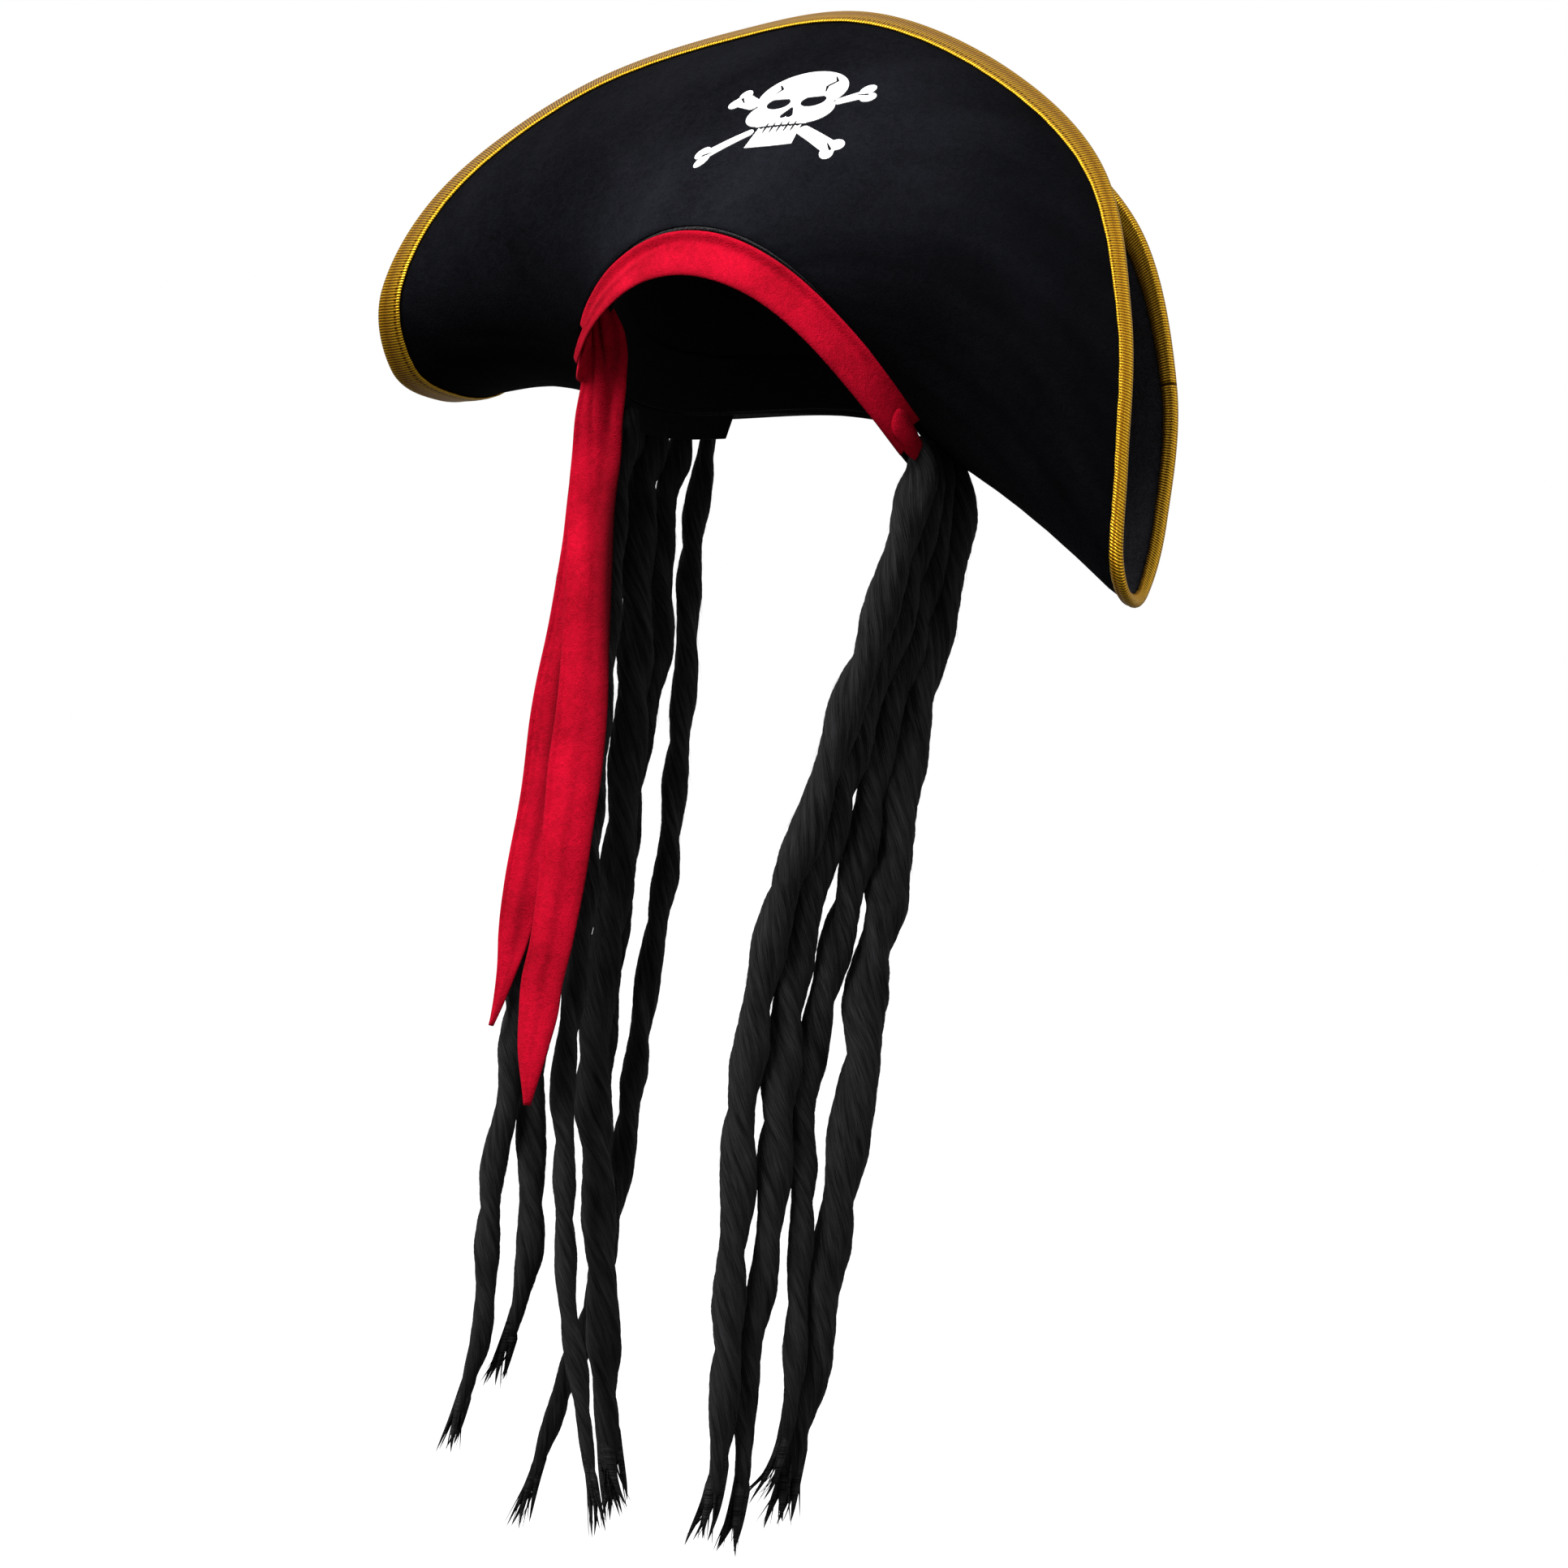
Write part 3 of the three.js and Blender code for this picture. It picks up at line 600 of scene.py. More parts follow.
# how far inside the rim oval each layer of the crown stands and how thick it is, in millimetres,
# and how far up the dome it goes, 0..1
crownLook = {"panel": {"inset": 4.0, "thick": 0.8, "top": 0.995, "dent": 1.0},
             "crown_lining": {"inset": 6.6, "thick": 0.6, "top": 0.995, "dent": 1.0},
             "sweatband": {"inset": 8.4, "thick": 1.2, "top": 0.13, "dent": 0.0},
             "seamRise": 0.9, "seamWide": 0.05, "seamGap": 0.2, "dentDeep": 1.6}


def crownPoint(angle, climb, inset):
    # a dome over the rim oval, squeezed front to back as it rises: the oval times cos, the height
    # times sin of a quarter circle
    angle, climb, inset = np.broadcast_arrays(angle, climb, inset)
    arch = climb * np.pi / 2
    base = rimPoint(angle, inset, 0.0)
    top = (hatShape["crownHeight"] - inset) * np.sin(arch)
    point = base * np.cos(arch)[..., None]
    point[..., 1] *= 1 - hatShape["crownSquash"] * np.sin(arch)
    point[..., 2] = base[..., 2] * (1 - np.sin(arch)) + top
    return point


def crownSoftness(angle, climb):
    # loose dents in unpadded cloth, none at the rim
    return crownLook["dentDeep"] * wave(4, angle * 3, climb * 4) * np.sin(np.pi * climb) ** 2


def crownShell(look, angle, climb, extra):
    # both faces of a layer that stands inside the rim by its inset, its dents and what is extra
    inset = look["inset"] + look["dent"] * crownSoftness(angle, climb) + extra
    return shellOf(crownPoint(angle, climb, inset), crownPoint(angle, climb, inset + look["thick"]))


def keepCrownPiece(node, shell, finish, closeAlong):
    # a layer of the crown in place of its node
    piece = sweepPiece(node + ".cloth", hatToFrame(shell), finish, closeAlong=closeAlong)
    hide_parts(node)
    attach(piece, "hat")


def makeCrown():
    # two half domes that meet in a seam, then the lining and the sweatband as whole rings
    look = crownLook["panel"]
    climb = np.linspace(0, look["top"], 40)[None, :]
    for node, side in (("crown_right_panel", 1), ("crown_left_panel", -1)):
        angle = np.linspace(-np.pi / 2, np.pi / 2, 120)[:, None] + (0 if side > 0 else np.pi)
        seam = crownLook["seamRise"] * np.exp(-(np.abs(np.cos(angle)) / crownLook["seamWide"]) ** 2)
        shell = crownShell(look, angle, climb, seam)
        shell[..., 0] += crownLook["seamGap"] * side
        keepCrownPiece(node, shell, blackVelour, False)
    angle = np.arange(160)[:, None] / 160 * 2 * np.pi
    for node in ("crown_lining", "sweatband"):
        look = crownLook[node]
        climb = np.linspace(0, look["top"], 34)[None, :]
        keepCrownPiece(node, crownShell(look, angle, climb, 0.0), liningCloth, True)
    for node in ("left_weft_tape", "right_weft_tape"):
        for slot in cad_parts[node].material_slots:
            slot.material = liningCloth


makeCrown()
print("crown made")


# skull and crossed bones: where the print sits on the brim, how it is stretched there, in millimetres
printLook = {"turn": 0.247, "out": 0.47, "lift": 3.1, "sunk": 0.45, "thick": 0.35, "cell": 0.22,
             "across": (1.08, 0.43), "upward": (-0.09, 1.5), "shift": (-0.1, 9.6), "crossing": -9}
# each bone's direction in degrees, where it starts and ends from the crossing, and its half width
boneLook = ((25.5, 19.5, 31, 1.7), (149, 21, 32, 2.5), (203.7, 12.5, 31, 1.7), (330, 12.5, 32, 2.2))


def disc(x, y, cx, cy, rx, ry, lean=0.0):
    # signed measure of a leaning oval, below zero inside
    dx, dy = x - cx, y - cy
    a = dx * math.cos(lean) + dy * math.sin(lean)
    b = dy * math.cos(lean) - dx * math.sin(lean)
    return (np.sqrt((a / rx) ** 2 + (b / ry) ** 2) - 1) * min(rx, ry)


def slabLine(x, y, x0, y0, x1, y1, half0, half1):
    # signed measure of a bar between two points, from one half width to the other
    dx, dy = x1 - x0, y1 - y0
    t = np.clip(((x - x0) * dx + (y - y0) * dy) / (dx * dx + dy * dy), 0, 1)
    return np.hypot(x - x0 - t * dx, y - y0 - t * dy) - (half0 + (half1 - half0) * t)


def skullMeasure(x, y):
    # brow, cheeks and middle, less the eyes, the nose, two thin cracks and the gaps between the teeth
    brow = disc(x, y, 0, 5.2, 17.4, 11.6)
    cheeks = [disc(x, y, side * 9.6, -5.2, 7.8, 6.0, side * 0.25) for side in (-1, 1)]
    middle = np.maximum(np.abs(x) - 10.0, np.abs(y + 4.0) - 7.6)
    eyes = [np.maximum(disc(x, y, side * 7.0, 0.0, 4.8, 3.0, 0.12 * side), y - 1.7 - 0.08 * side * x)
            for side in (-1, 1)]
    bars = [(-0.2, -3.2, -1.4, -6.9, 0.3, 1.3), (0.3, -3.2, 1.0, -6.9, 0.3, 1.2),
            (-11.4, 10.4, -9.6, 8.0, 0.25, 0.55), (-9.6, 8.0, -11.4, 5.8, 0.55, 0.2),
            (9.4, 13.2, 11.2, 10.6, 0.2, 0.5), (11.2, 10.6, 8.6, 7.8, 0.5, 0.55),
            (8.6, 7.8, 9.4, 5.0, 0.55, 0.25)]
    bars += [(tooth, -10.4, tooth, -12.6, 0.25, 0.6) for tooth in np.arange(-5.6, 5.7, 2.8)]
    holes = eyes + [slabLine(x, y, *bar) for bar in bars]
    return np.maximum(np.minimum.reduce([brow, middle] + cheeks), -np.minimum.reduce(holes))


def jawMeasure(x, y):
    # a broad chin that flares a little, with a row of gaps between the teeth
    sides = np.abs(x) - 8.6 + 0.10 * (y + 13)
    top = y + 12.5 - 0.35 * np.cos(2.2 * x)
    chin = np.maximum(np.maximum(sides, top), -(y + 22.2 - 0.006 * x * x))
    gaps = [slabLine(x, y, tooth, -11.8, tooth, -15.0, 0.6, 0.25) for tooth in np.arange(-5.6, 5.7, 2.8)]
    return np.maximum(chin, -np.minimum.reduce(gaps))


def boneMeasure(degrees, start, end, half):
    # a shaft that widens to two knobs, with a small nick between them
    angle = math.radians(degrees)

    def measure(x, y):
        raised = y - printLook["crossing"]
        a = x * math.cos(angle) + raised * math.sin(angle)
        b = raised * math.cos(angle) - x * math.sin(angle)
        shaft = slabLine(a, b, start, 0, end - 2.5, 0, half, half + 0.7)
        knobs = np.minimum(disc(a, b, end - 1.4, 2.2, 3.1, 2.5, 0.3),
                           disc(a, b, end - 1.4, -2.2, 3.1, 2.5, -0.3))
        nick = slabLine(a, b, end - 5.0, 0.7, end - 1.6, -0.5, 0.2, 0.5)
        return np.maximum(np.minimum(shaft, knobs), -nick)
    return measure


def spotOnBrim(x, y):
    # Newton steps from the print's own plane to turn and out on the brim
    look = printLook
    centre = brimPoint(look["turn"], look["out"])
    face = brimNormal(look["turn"], look["out"])
    up = unit(brimPoint(look["turn"], look["out"] + 0.05) - brimPoint(look["turn"], look["out"] - 0.05))
    right = unit(np.cross(up, face))
    x, y = (look["across"][k] * x + look["upward"][k] * y + look["shift"][k] for k in (0, 1))
    turn, out = np.full(x.shape, look["turn"]), np.full(x.shape, look["out"])
    step = 1e-3
    for _ in range(8):
        here = brimPoint(turn, out) - centre
        missX, missY = here @ right - x, here @ up - y
        byTurn = (brimPoint(turn + step, out) - brimPoint(turn - step, out)) / (2 * step)
        byOut = (brimPoint(turn, out + step) - brimPoint(turn, out - step)) / (2 * step)
        a, b, c, d = byTurn @ right, byOut @ right, byTurn @ up, byOut @ up
        scale = a * d - b * c
        turn = turn - (d * missX - b * missY) / scale
        out = out - (a * missY - c * missX) / scale
    return turn, out


def printPiece(node, measure, span):
    # cells whose middle is inside the shape, with their outer corners moved onto its outline
    cell = printLook["cell"]
    x, y = np.meshgrid(np.arange(-span, span, cell), np.arange(-span, span, cell), indexing="ij")
    keep = measure(x[:-1, :-1] + cell / 2, y[:-1, :-1] + cell / 2) < 0
    small = cell / 8
    value = measure(x, y)
    slopeX = (measure(x + small, y) - measure(x - small, y)) / (2 * small)
    slopeY = (measure(x, y + small) - measure(x, y - small)) / (2 * small)
    pull = np.clip(value, -0.5 * cell, 0.5 * cell) / np.maximum(slopeX ** 2 + slopeY ** 2, 0.3)
    kept = np.zeros((x.shape[0] + 1, x.shape[1] + 1))
    kept[1:-1, 1:-1] = keep
    around = kept[:-1, :-1] + kept[1:, :-1] + kept[:-1, 1:] + kept[1:, 1:]
    border = (around > 0) & (around < 4)
    x = np.where(border, x - pull * slopeX, x)
    y = np.where(border, y - pull * slopeY, y)
    i, j = np.nonzero(keep)
    columns = x.shape[1]
    low, high = i * columns + j, (i + 1) * columns + j
    quads = np.stack([low, high, high + 1, low + 1], 1)
    used, numbers = np.unique(quads, return_inverse=True)
    quads = numbers.reshape(-1, 4)
    turn, out = spotOnBrim(x.ravel()[used], y.ravel()[used])
    face = brimNormal(turn, out)
    stand = printLook["lift"] - printLook["sunk"] + brimRipple(turn, out)
    base = brimPoint(turn, out) + face * stand[:, None]
    points = np.vstack([base + face * printLook["thick"], base])
    count = len(used)
    edges = np.concatenate([quads[:, [0, 1]], quads[:, [1, 2]], quads[:, [2, 3]], quads[:, [3, 0]]])
    ahead = edges[:, 0] * count + edges[:, 1]
    back = edges[:, 1] * count + edges[:, 0]
    rim = edges[~np.isin(ahead, back)]
    walls = np.stack([rim[:, 1], rim[:, 0], rim[:, 0] + count, rim[:, 1] + count], 1)
    faces = np.vstack([quads, quads[:, ::-1] + count, walls])
    uv = np.zeros((len(faces), 4, 2))
    piece = addPiece(node + ".ink", hatToFrame(points), faces, uv, whiteInk)
    piece.data.polygons.foreach_set("use_smooth", np.zeros(len(faces), bool))
    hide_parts(node)
    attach(piece, "hat")


def makePrint():
    # the skull, its jaw and the four bone ends, each over a square span of its own
    printPiece("skull_print", skullMeasure, 24)
    printPiece("jaw_print", jawMeasure, 26)
    for number, bone in enumerate(boneLook, 1):
        printPiece(f"bone_print_{number}", boneMeasure(*bone), 38)


makePrint()
print("print made")


# Locks of hair: diameter and route of each lock from the weft tape to the tip, in millimetres
rightLocks = {
    "right_lock_a": (14, [
        [88, -23, -65], [86, -26, -82], [85, -28, -100], [80, -28, -124], [77, -28, -147],
        [70, -28, -173], [65, -28, -199], [56, -28, -243], [50, -28, -266], [45, -28, -309],
        [44, -28, -340], [44, -28, -378], [48, -28, -405], [50, -28, -446], [54, -28, -479],
        [57, -28, -517], [57, -28, -548], [53, -28, -573]]),
    "right_lock_b": (12.5, [
        [87, -13, -65], [86, -13, -86], [83, -13, -116], [77, -13, -148], [70, -13, -179],
        [65, -13, -210], [59, -13, -249], [54, -13, -285], [53, -13, -323], [55, -13, -361],
        [58, -13, -396], [60, -13, -441], [58, -13, -483], [59, -13, -507], [63, -13, -531],
        [63, -13, -556], [61, -13, -577]]),
    "right_lock_c": (10.5, [
        [87, 1, -66], [88, 1, -87], [86, 1, -114], [83, 1, -142], [78, 1, -169], [74, 1, -200],
        [73, 1, -231], [70, 1, -263], [66, 1, -294], [63, 1, -318], [61, 1, -346], [62, 1, -378],
        [67, 1, -403], [72, 1, -450], [76, 1, -490], [76, 1, -517], [71, 1, -539], [61, 1, -555]]),
    "right_lock_d": (16.5, [
        [87, 15, -67], [90, 15, -82], [91, 15, -101], [88, 15, -126], [86, 15, -152], [83, 15, -172],
        [82, 15, -195], [83, 15, -225], [82, 15, -254], [83, 15, -270], [79, 15, -296], [79, 15, -314],
        [82, 15, -338], [81, 15, -370], [80, 15, -409], [79, 15, -444], [79, 15, -476], [77, 15, -508],
        [75, 15, -534], [72, 15, -567]]),
}
leftLocks = {
    "left_lock_e": (11, [
        [-72, 58, -62], [-73, 58, -85], [-72, 58, -111], [-69, 58, -142], [-66, 58, -167],
        [-63, 58, -222], [-61, 58, -269], [-62, 58, -297], [-63, 58, -344], [-63, 58, -381],
        [-63, 58, -422], [-65, 58, -451], [-67, 58, -485], [-71, 58, -511], [-77, 58, -531],
        [-82, 58, -555], [-86, 58, -574], [-91, 58, -597], [-95, 58, -614]]),
    "left_lock_f": (15, [
        [-84, 24, -62], [-87, 24, -85], [-83, 24, -121], [-78, 24, -153], [-75, 24, -185],
        [-73, 24, -218], [-70, 24, -264], [-70, 24, -299], [-70, 24, -345], [-65, 24, -386],
        [-59, 24, -411], [-53, 24, -442], [-47, 24, -468], [-41, 24, -497], [-36, 24, -522],
        [-28, 24, -552], [-19, 24, -583]]),
    "left_lock_g": (9.5, [
        [-80, -8, -60], [-81, -8, -86], [-77, -8, -132], [-75, -8, -164], [-73, -8, -203],
        [-70, -8, -243], [-67, -8, -283], [-66, -8, -323], [-66, -8, -365], [-64, -8, -385],
        [-60, -8, -402], [-55, -8, -433], [-50, -8, -460], [-44, -8, -486], [-37, -8, -505],
        [-31, -8, -523], [-24, -8, -546], [-18, -8, -564], [-10, -8, -587]]),
    "left_lock_h": (11, [
        [-90, -5, -62], [-98, -6, -80], [-101, -6, -126], [-101, -6, -166], [-101, -6, -207],
        [-100, -6, -247], [-99, -6, -287], [-99, -6, -328], [-97, -6, -364], [-96, -6, -393],
        [-98.5, -6, -413], [-99, -6, -425], [-97, -6, -452], [-95, -6, -474], [-93, -6, -490],
        [-93, -6, -513], [-97, -6, -534], [-100, -6, -553], [-103, -6, -568]]),
    "left_lock_i": (13, [
        [-88, 8, -62], [-95, 8, -80], [-97, 8, -124], [-96, 8, -164], [-96, 8, -205], [-95, 8, -246],
        [-96, 8, -287], [-97, 8, -327], [-95, 8, -368], [-91, 8, -390], [-85, 8, -427], [-81, 8, -454],
        [-80, 8, -471], [-82, 8, -492], [-86, 8, -513], [-91, 8, -534]]),
    "left_lock_k": (11, [
        [-78, 41, -62], [-82, 41, -85], [-80, 41, -114], [-75, 41, -142], [-74, 41, -167],
        [-76, 41, -188], [-78, 41, -213], [-78, 41, -242], [-76, 41, -275], [-76, 41, -308],
        [-75, 41, -349], [-71, 41, -389], [-64, 41, -425], [-57, 41, -461], [-51, 41, -501],
        [-46, 41, -533], [-39, 41, -564], [-29, 41, -591]]),
}
# All locks, in millimetres: pitch of the twist, depth of lobes and strands as shares of the radius,
# tip taper and bare tip, root above the tape, head, where the fullness ends, hairs.
lockLook = {"ringStep": 1.5, "around": 40, "pitch": 106, "lobe": 0.16, "strand": 0.04,
            "tipTaper": 58, "bareTip": 22, "root": 15, "rootLean": 5, "head": 20, "headThin": 0.72,
            "fullTo": 0.76, "fullFade": 0.18, "capShare": 0.65, "capMore": 1.8,
            "fuzz": 420, "fuzzLong": 17, "fuzzThick": 0.10, "fuzzLift": 2.4}
# each set of wisps: what is added to the seed, how many, their thickness as a share of the lock's
# diameter, and how far they spread
wispSets = ((0, 4, 0.44, 0.40), (7, 9, 0.12, 0.5))
# how much fuller than its diameter each lock stands over its upper part
lockFullness = {"right_lock_a": 1.08, "right_lock_b": 1.3, "right_lock_c": 1.38, "right_lock_d": 1.12,
                "left_lock_e": 1.05, "left_lock_f": 1.1, "left_lock_g": 1.15, "left_lock_h": 1.18,
                "left_lock_i": 1.24, "left_lock_k": 1.18}


def lockLine(route, size, full):
    # centre, side and depth axes every half millimetre along the route, from its root in the tape;
    # the right locks' roots lean inwards
    lean = -lockLook["rootLean"] if route[0][0] > 0 else 0
    route = np.vstack([np.array(route[0], float) + [lean, 0, lockLook["root"]], np.array(route, float)])
    fine = splineAt(route, np.linspace(0, 1, 1200), False)
    walked = np.concatenate([[0], np.cumsum(np.linalg.norm(np.diff(fine, axis=0), axis=1))])
    tangent = unit(np.gradient(fine, axis=0))
    side = unit(np.cross([0.0, 1.0, 0.0], tangent))
    return {"at": walked, "centre": fine, "side": side, "depth": np.cross(tangent, side),
            "long": walked[-1], "size": size, "full": full}


def lockPoint(line, along, angle, radius):
    # centre plus radius times (side cos + depth sin), the radius never past a share of the diameter
    def follow(key):
        return np.stack([np.interp(along, line["at"], line[key][:, k]) for k in range(3)], axis=-1)
    radius = np.minimum(radius, lockLook["capShare"] * line["size"] + lockLook["capMore"])
    outward = follow("side") * np.cos(angle)[..., None] + follow("depth") * np.sin(angle)[..., None]
    return follow("centre") + outward * radius[..., None]


def lockRadius(line, seed, along, angle):
    # a twisted oval with finer strands, swelling and thinning slowly, thinner at the head and drawn
    # out at the tip: half the diameter times (1 + lobes + strands + waves) times those shares
    look, size = lockLook, line["size"]
    twist = 2 * np.pi * along / look["pitch"] * (13 / size) ** 0.5      # thin locks twist tighter
    turned = angle + twist - 0.7 * wave(seed, along / 40) - seed
    body = 1 + look["lobe"] * np.cos(2 * turned) + 0.05 * np.cos(3 * turned + 1)
    body = body + look["strand"] * np.cos(9 * turned + 2 * wave(seed + 1, along / 30))
    body = body + 0.06 * wave(seed + 2, along / 26) + 0.02 * wave(seed + 4, along / 3, angle * 4)
    left = np.clip((line["long"] - look["bareTip"] - along) / look["tipTaper"], 0, 1)
    head = look["headThin"] + (1 - look["headThin"]) * np.clip(along / look["head"], 0, 1)
    share = np.clip(along / line["long"], 0, 1)
    full = 1 + (line["full"] - 1) * np.clip((look["fullTo"] - share) / look["fullFade"], 0, 1)
    return size / 2 * body * full * (0.34 + 0.66 * left ** 0.8) * head


def hairs(base, half, along, seed):
    # three sided hairs round the lines base[hair, station], thinned by half[hair, station]
    count, stations = base.shape[:2]
    corner = np.arange(3) * 2 * np.pi / 3
    ring = (np.cos(corner)[:, None] * np.array([1.0, 0.2, 0.0])
            + np.sin(corner)[:, None] * np.array([-0.2, 1.0, 0.0]))
    points = base[:, :, None, :] + half[..., None, None] * ring
    numbers = np.arange(count * stations * 3).reshape(count, stations, 3)
    after = np.roll(numbers, -1, axis=2)
    faces = np.stack([numbers[:, :-1], after[:, :-1], after[:, 1:], numbers[:, 1:]], axis=-1).reshape(-1, 4)
    shade = np.random.default_rng(seed).uniform(0, 0.05, (count, 1, 1))
    uv = np.stack(np.broadcast_arrays(along[:, :, None] * mm, shade + 0 * numbers), axis=-1)
    return points.reshape(-1, 3), faces, uv.reshape(-1, 2)[faces]


def fuzzHairs(line, seed, count, long, thick):
    # fine hairs that follow the twist and stand off it towards their ends
    rng = np.random.default_rng(seed)
    stations = np.linspace(0, 1, 5)[None, :]
    start = rng.uniform(12, line["long"] - 40, (count, 1))
    reach = rng.uniform(0.5, 1.0, (count, 1)) * long
    along = start + reach * stations
    angle = rng.uniform(0, 2 * np.pi, (count, 1)) - 2 * np.pi * reach * stations / lockLook["pitch"]
    angle = angle + rng.normal(0, 0.35, (count, 1)) * stations
    lift = rng.uniform(0.2, 1.0, (count, 1)) * lockLook["fuzzLift"] * stations ** 1.6
    base = lockPoint(line, along, angle, lockRadius(line, seed, along, angle) * 0.98 + lift)
    return hairs(base, thick / 2 * (1 - 0.9 * stations ** 1.5) + 0 * along, along, seed)


def tipWisps(line, seed, count, thick, spreadOut):
    # drawn out wisps that leave the thinning end of the lock, part a little and curl to points
    rng = np.random.default_rng(seed + 90)
    stations = np.linspace(0, 1, 14)[None, :]
    start = line["long"] - lockLook["bareTip"] - rng.uniform(10, 34, (count, 1))
    end = line["long"] - rng.uniform(0, 6, (count, 1)) * (np.arange(count)[:, None] > 1)
    along = start + (end - start) * stations
    angle = 2 * np.pi * np.arange(count)[:, None] / count + rng.uniform(0, 1, (count, 1)) - 1.5 * stations
    away = line["size"] * (0.16 + spreadOut * rng.uniform(0.3, 1.0, (count, 1)) * stations ** 2.2)
    base = lockPoint(line, along, angle, away)
    body = np.clip(stations / 0.2, 0.5, 1) * np.clip((1 - stations) / 0.75, 0.01, 1) ** 0.72
    return hairs(base, thick / 2 * body + 0 * along, along, seed)


def makeLock(node, size, route, body, seed):
    # the twisted body with rounded ends, its fuzz and its wisps in one mesh
    look = lockLook
    line = lockLine(route, size, lockFullness[node])
    bodyLong = line["long"] - look["bareTip"]
    rings = int(bodyLong / look["ringStep"])
    along = np.linspace(0, bodyLong, rings)[:, None]
    angle = np.arange(look["around"])[None, :] * 2 * np.pi / look["around"]
    along, angle = np.broadcast_arrays(along, angle)
    close = np.sqrt(np.clip(1 - ((along - bodyLong + 8) / 8.2).clip(0, 1) ** 2, 0.01, 1))
    skin = lockPoint(line, along, angle, lockRadius(line, seed, along, angle) * close)
    faces, corners = gridFaces(rings, look["around"], False, True)
    uv = np.stack([corners[..., 0] * bodyLong / rings,
                   corners[..., 1] * np.pi * size / look["around"]], axis=-1) * mm
    k = np.arange(look["around"] // 2 - 1)
    cap = np.stack([k, k + 1, look["around"] - 2 - k, look["around"] - 1 - k], axis=1)
    faces = np.vstack([faces, cap[:, ::-1], cap + (rings - 1) * look["around"]])
    uv = np.concatenate([uv, np.zeros((2 * len(cap), 4, 2))])
    sets = [(skin.reshape(-1, 3), faces, uv),
            fuzzHairs(line, seed, look["fuzz"], look["fuzzLong"], look["fuzzThick"])]
    sets += [tipWisps(line, seed + more, count, thick * size, spread)
             for more, count, thick, spread in wispSets]
    offsets = np.cumsum([0] + [len(points) for points, _, _ in sets])
    allFaces = np.vstack([more + offset for (_, more, _), offset in zip(sets, offsets)])
    piece = addPiece(node + ".plush", np.vstack([points for points, _, _ in sets]) * mm, allFaces,
                     np.concatenate([moreUv for _, _, moreUv in sets]), blackPlush)
    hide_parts(node)
    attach(piece, body)


for number, (node, (size, route)) in enumerate(rightLocks.items()):
    makeLock(node, size, route, "right_hair", number + 1)
for number, (node, (size, route)) in enumerate(leftLocks.items()):
    makeLock(node, size, route, "left_hair", number + 11)
print("locks made")


# Red velvet bandana and sash tails, in millimetres and degrees: angle is where a piece starts round
# the head and turn how far it goes, both anticlockwise from the right.
velvetLook = {"thick": 1.3, "across": 28}
bandLook = {"angle": -149, "turn": 135.5, "low": -22, "high": -1.9, "inset": 2.2, "crowned": 1.1,
            "lip": 4.6, "fold": 1.5, "flat": (0.022, 0.27)}
rightEndLook = {"angle": -22, "turn": 17.5, "rise": -12.5, "inset": 1.0, "halfTall": 7.4, "halfDeep": 2.6}
leftFoldLook = {"angle": -146, "turn": -15, "rise": -12.0, "inset": 3.7, "halfTall": 9.5, "halfDeep": 2.5}


def clothFaces(middle, thick):
    # both faces of a sheet given as [along, across], rounded off at its side edges
    along = np.gradient(middle, axis=0)
    across = np.gradient(middle, axis=1)
    face = unit(np.cross(along, across))
    place = np.linspace(-1, 1, middle.shape[1])[None, :, None]
    half = thick / 2 * np.sqrt(np.clip(1 - place ** 8, 0.02, 1))
    return shellOf(middle + face * half, middle - face * half)


def makeBand():
    # the front band on the rim oval: crowned across its width, with its upper edge lapped against the
    # brim and one soft fold that crosses it from the left end
    look = bandLook
    angle = np.radians(np.linspace(look["angle"], look["angle"] + look["turn"], 220))[:, None]
    across = np.linspace(0, 1, velvetLook["across"])[None, :]
    lean = (angle - angle[0]) / (angle[-1] - angle[0])
    bottom = look["low"] - 0.6 * wave(6, lean * 9)
    rise = bottom + (look["high"] - bottom) * across
    lip = look["lip"] * np.exp(-((1 - across) / 0.14) ** 2)
    crowned = look["crowned"] * np.sin(np.pi * across) ** 0.8 + lip
    fold = np.exp(-((across - 0.15 - 1.6 * lean) / 0.10) ** 2) * np.exp(-(lean / 0.28) ** 2)
    inset = look["inset"] - crowned - look["fold"] * fold + 0.3 * wave(7, lean * 16, across * 5)
    middle = rimPoint(angle + 0 * across, inset, rise)
    shell = clothFaces(middle, velvetLook["thick"])
    piece = sweepPiece("bandana_band.cloth", hatToFrame(shell), redVelvet)
    # painted shade: darker in the fold, along the low edge and over the right part, plus random mottling
    paintedLowEdgeShade = 0.3 * np.exp(-(across / 0.12) ** 2)
    paintedRightShade = 0.08 * np.clip((lean - 0.6) / 0.3, 0, 1)
    shadePiece(piece, 0.3 * fold + paintedLowEdgeShade + paintedRightShade + 0.10 * wave(9, lean * 7, across * 3))
    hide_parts("bandana_band")
    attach(piece, "hat")


def makeRoll(name, node, look, along, around, wide, power, least):
    # a roll of cloth along the rim oval: an oval section times wide, closed at both ends by
    # sqrt(1 - (2 |along - 1/2|) to a power), which never goes below the root of least
    angle = np.radians(look["angle"] + look["turn"] * along)
    close = np.sqrt(np.clip(1 - (2 * np.abs(along - 0.5)) ** power, least, 1))
    rise = look["rise"] + look["halfTall"] * wide * close * np.sin(around)
    inset = look["inset"] + look["halfDeep"] * wide * close * np.cos(around)
    piece = sweepPiece(name, hatToFrame(rimPoint(angle, inset, rise)), redVelvet)
    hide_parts(node)
    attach(piece, "hat")


def rollGrid(alongCount, aroundCount):
    # 0..1 along and a whole turn around
    return (np.linspace(0, 1, alongCount)[:, None],
            np.linspace(0, 2 * np.pi, aroundCount, endpoint=False)[None, :])


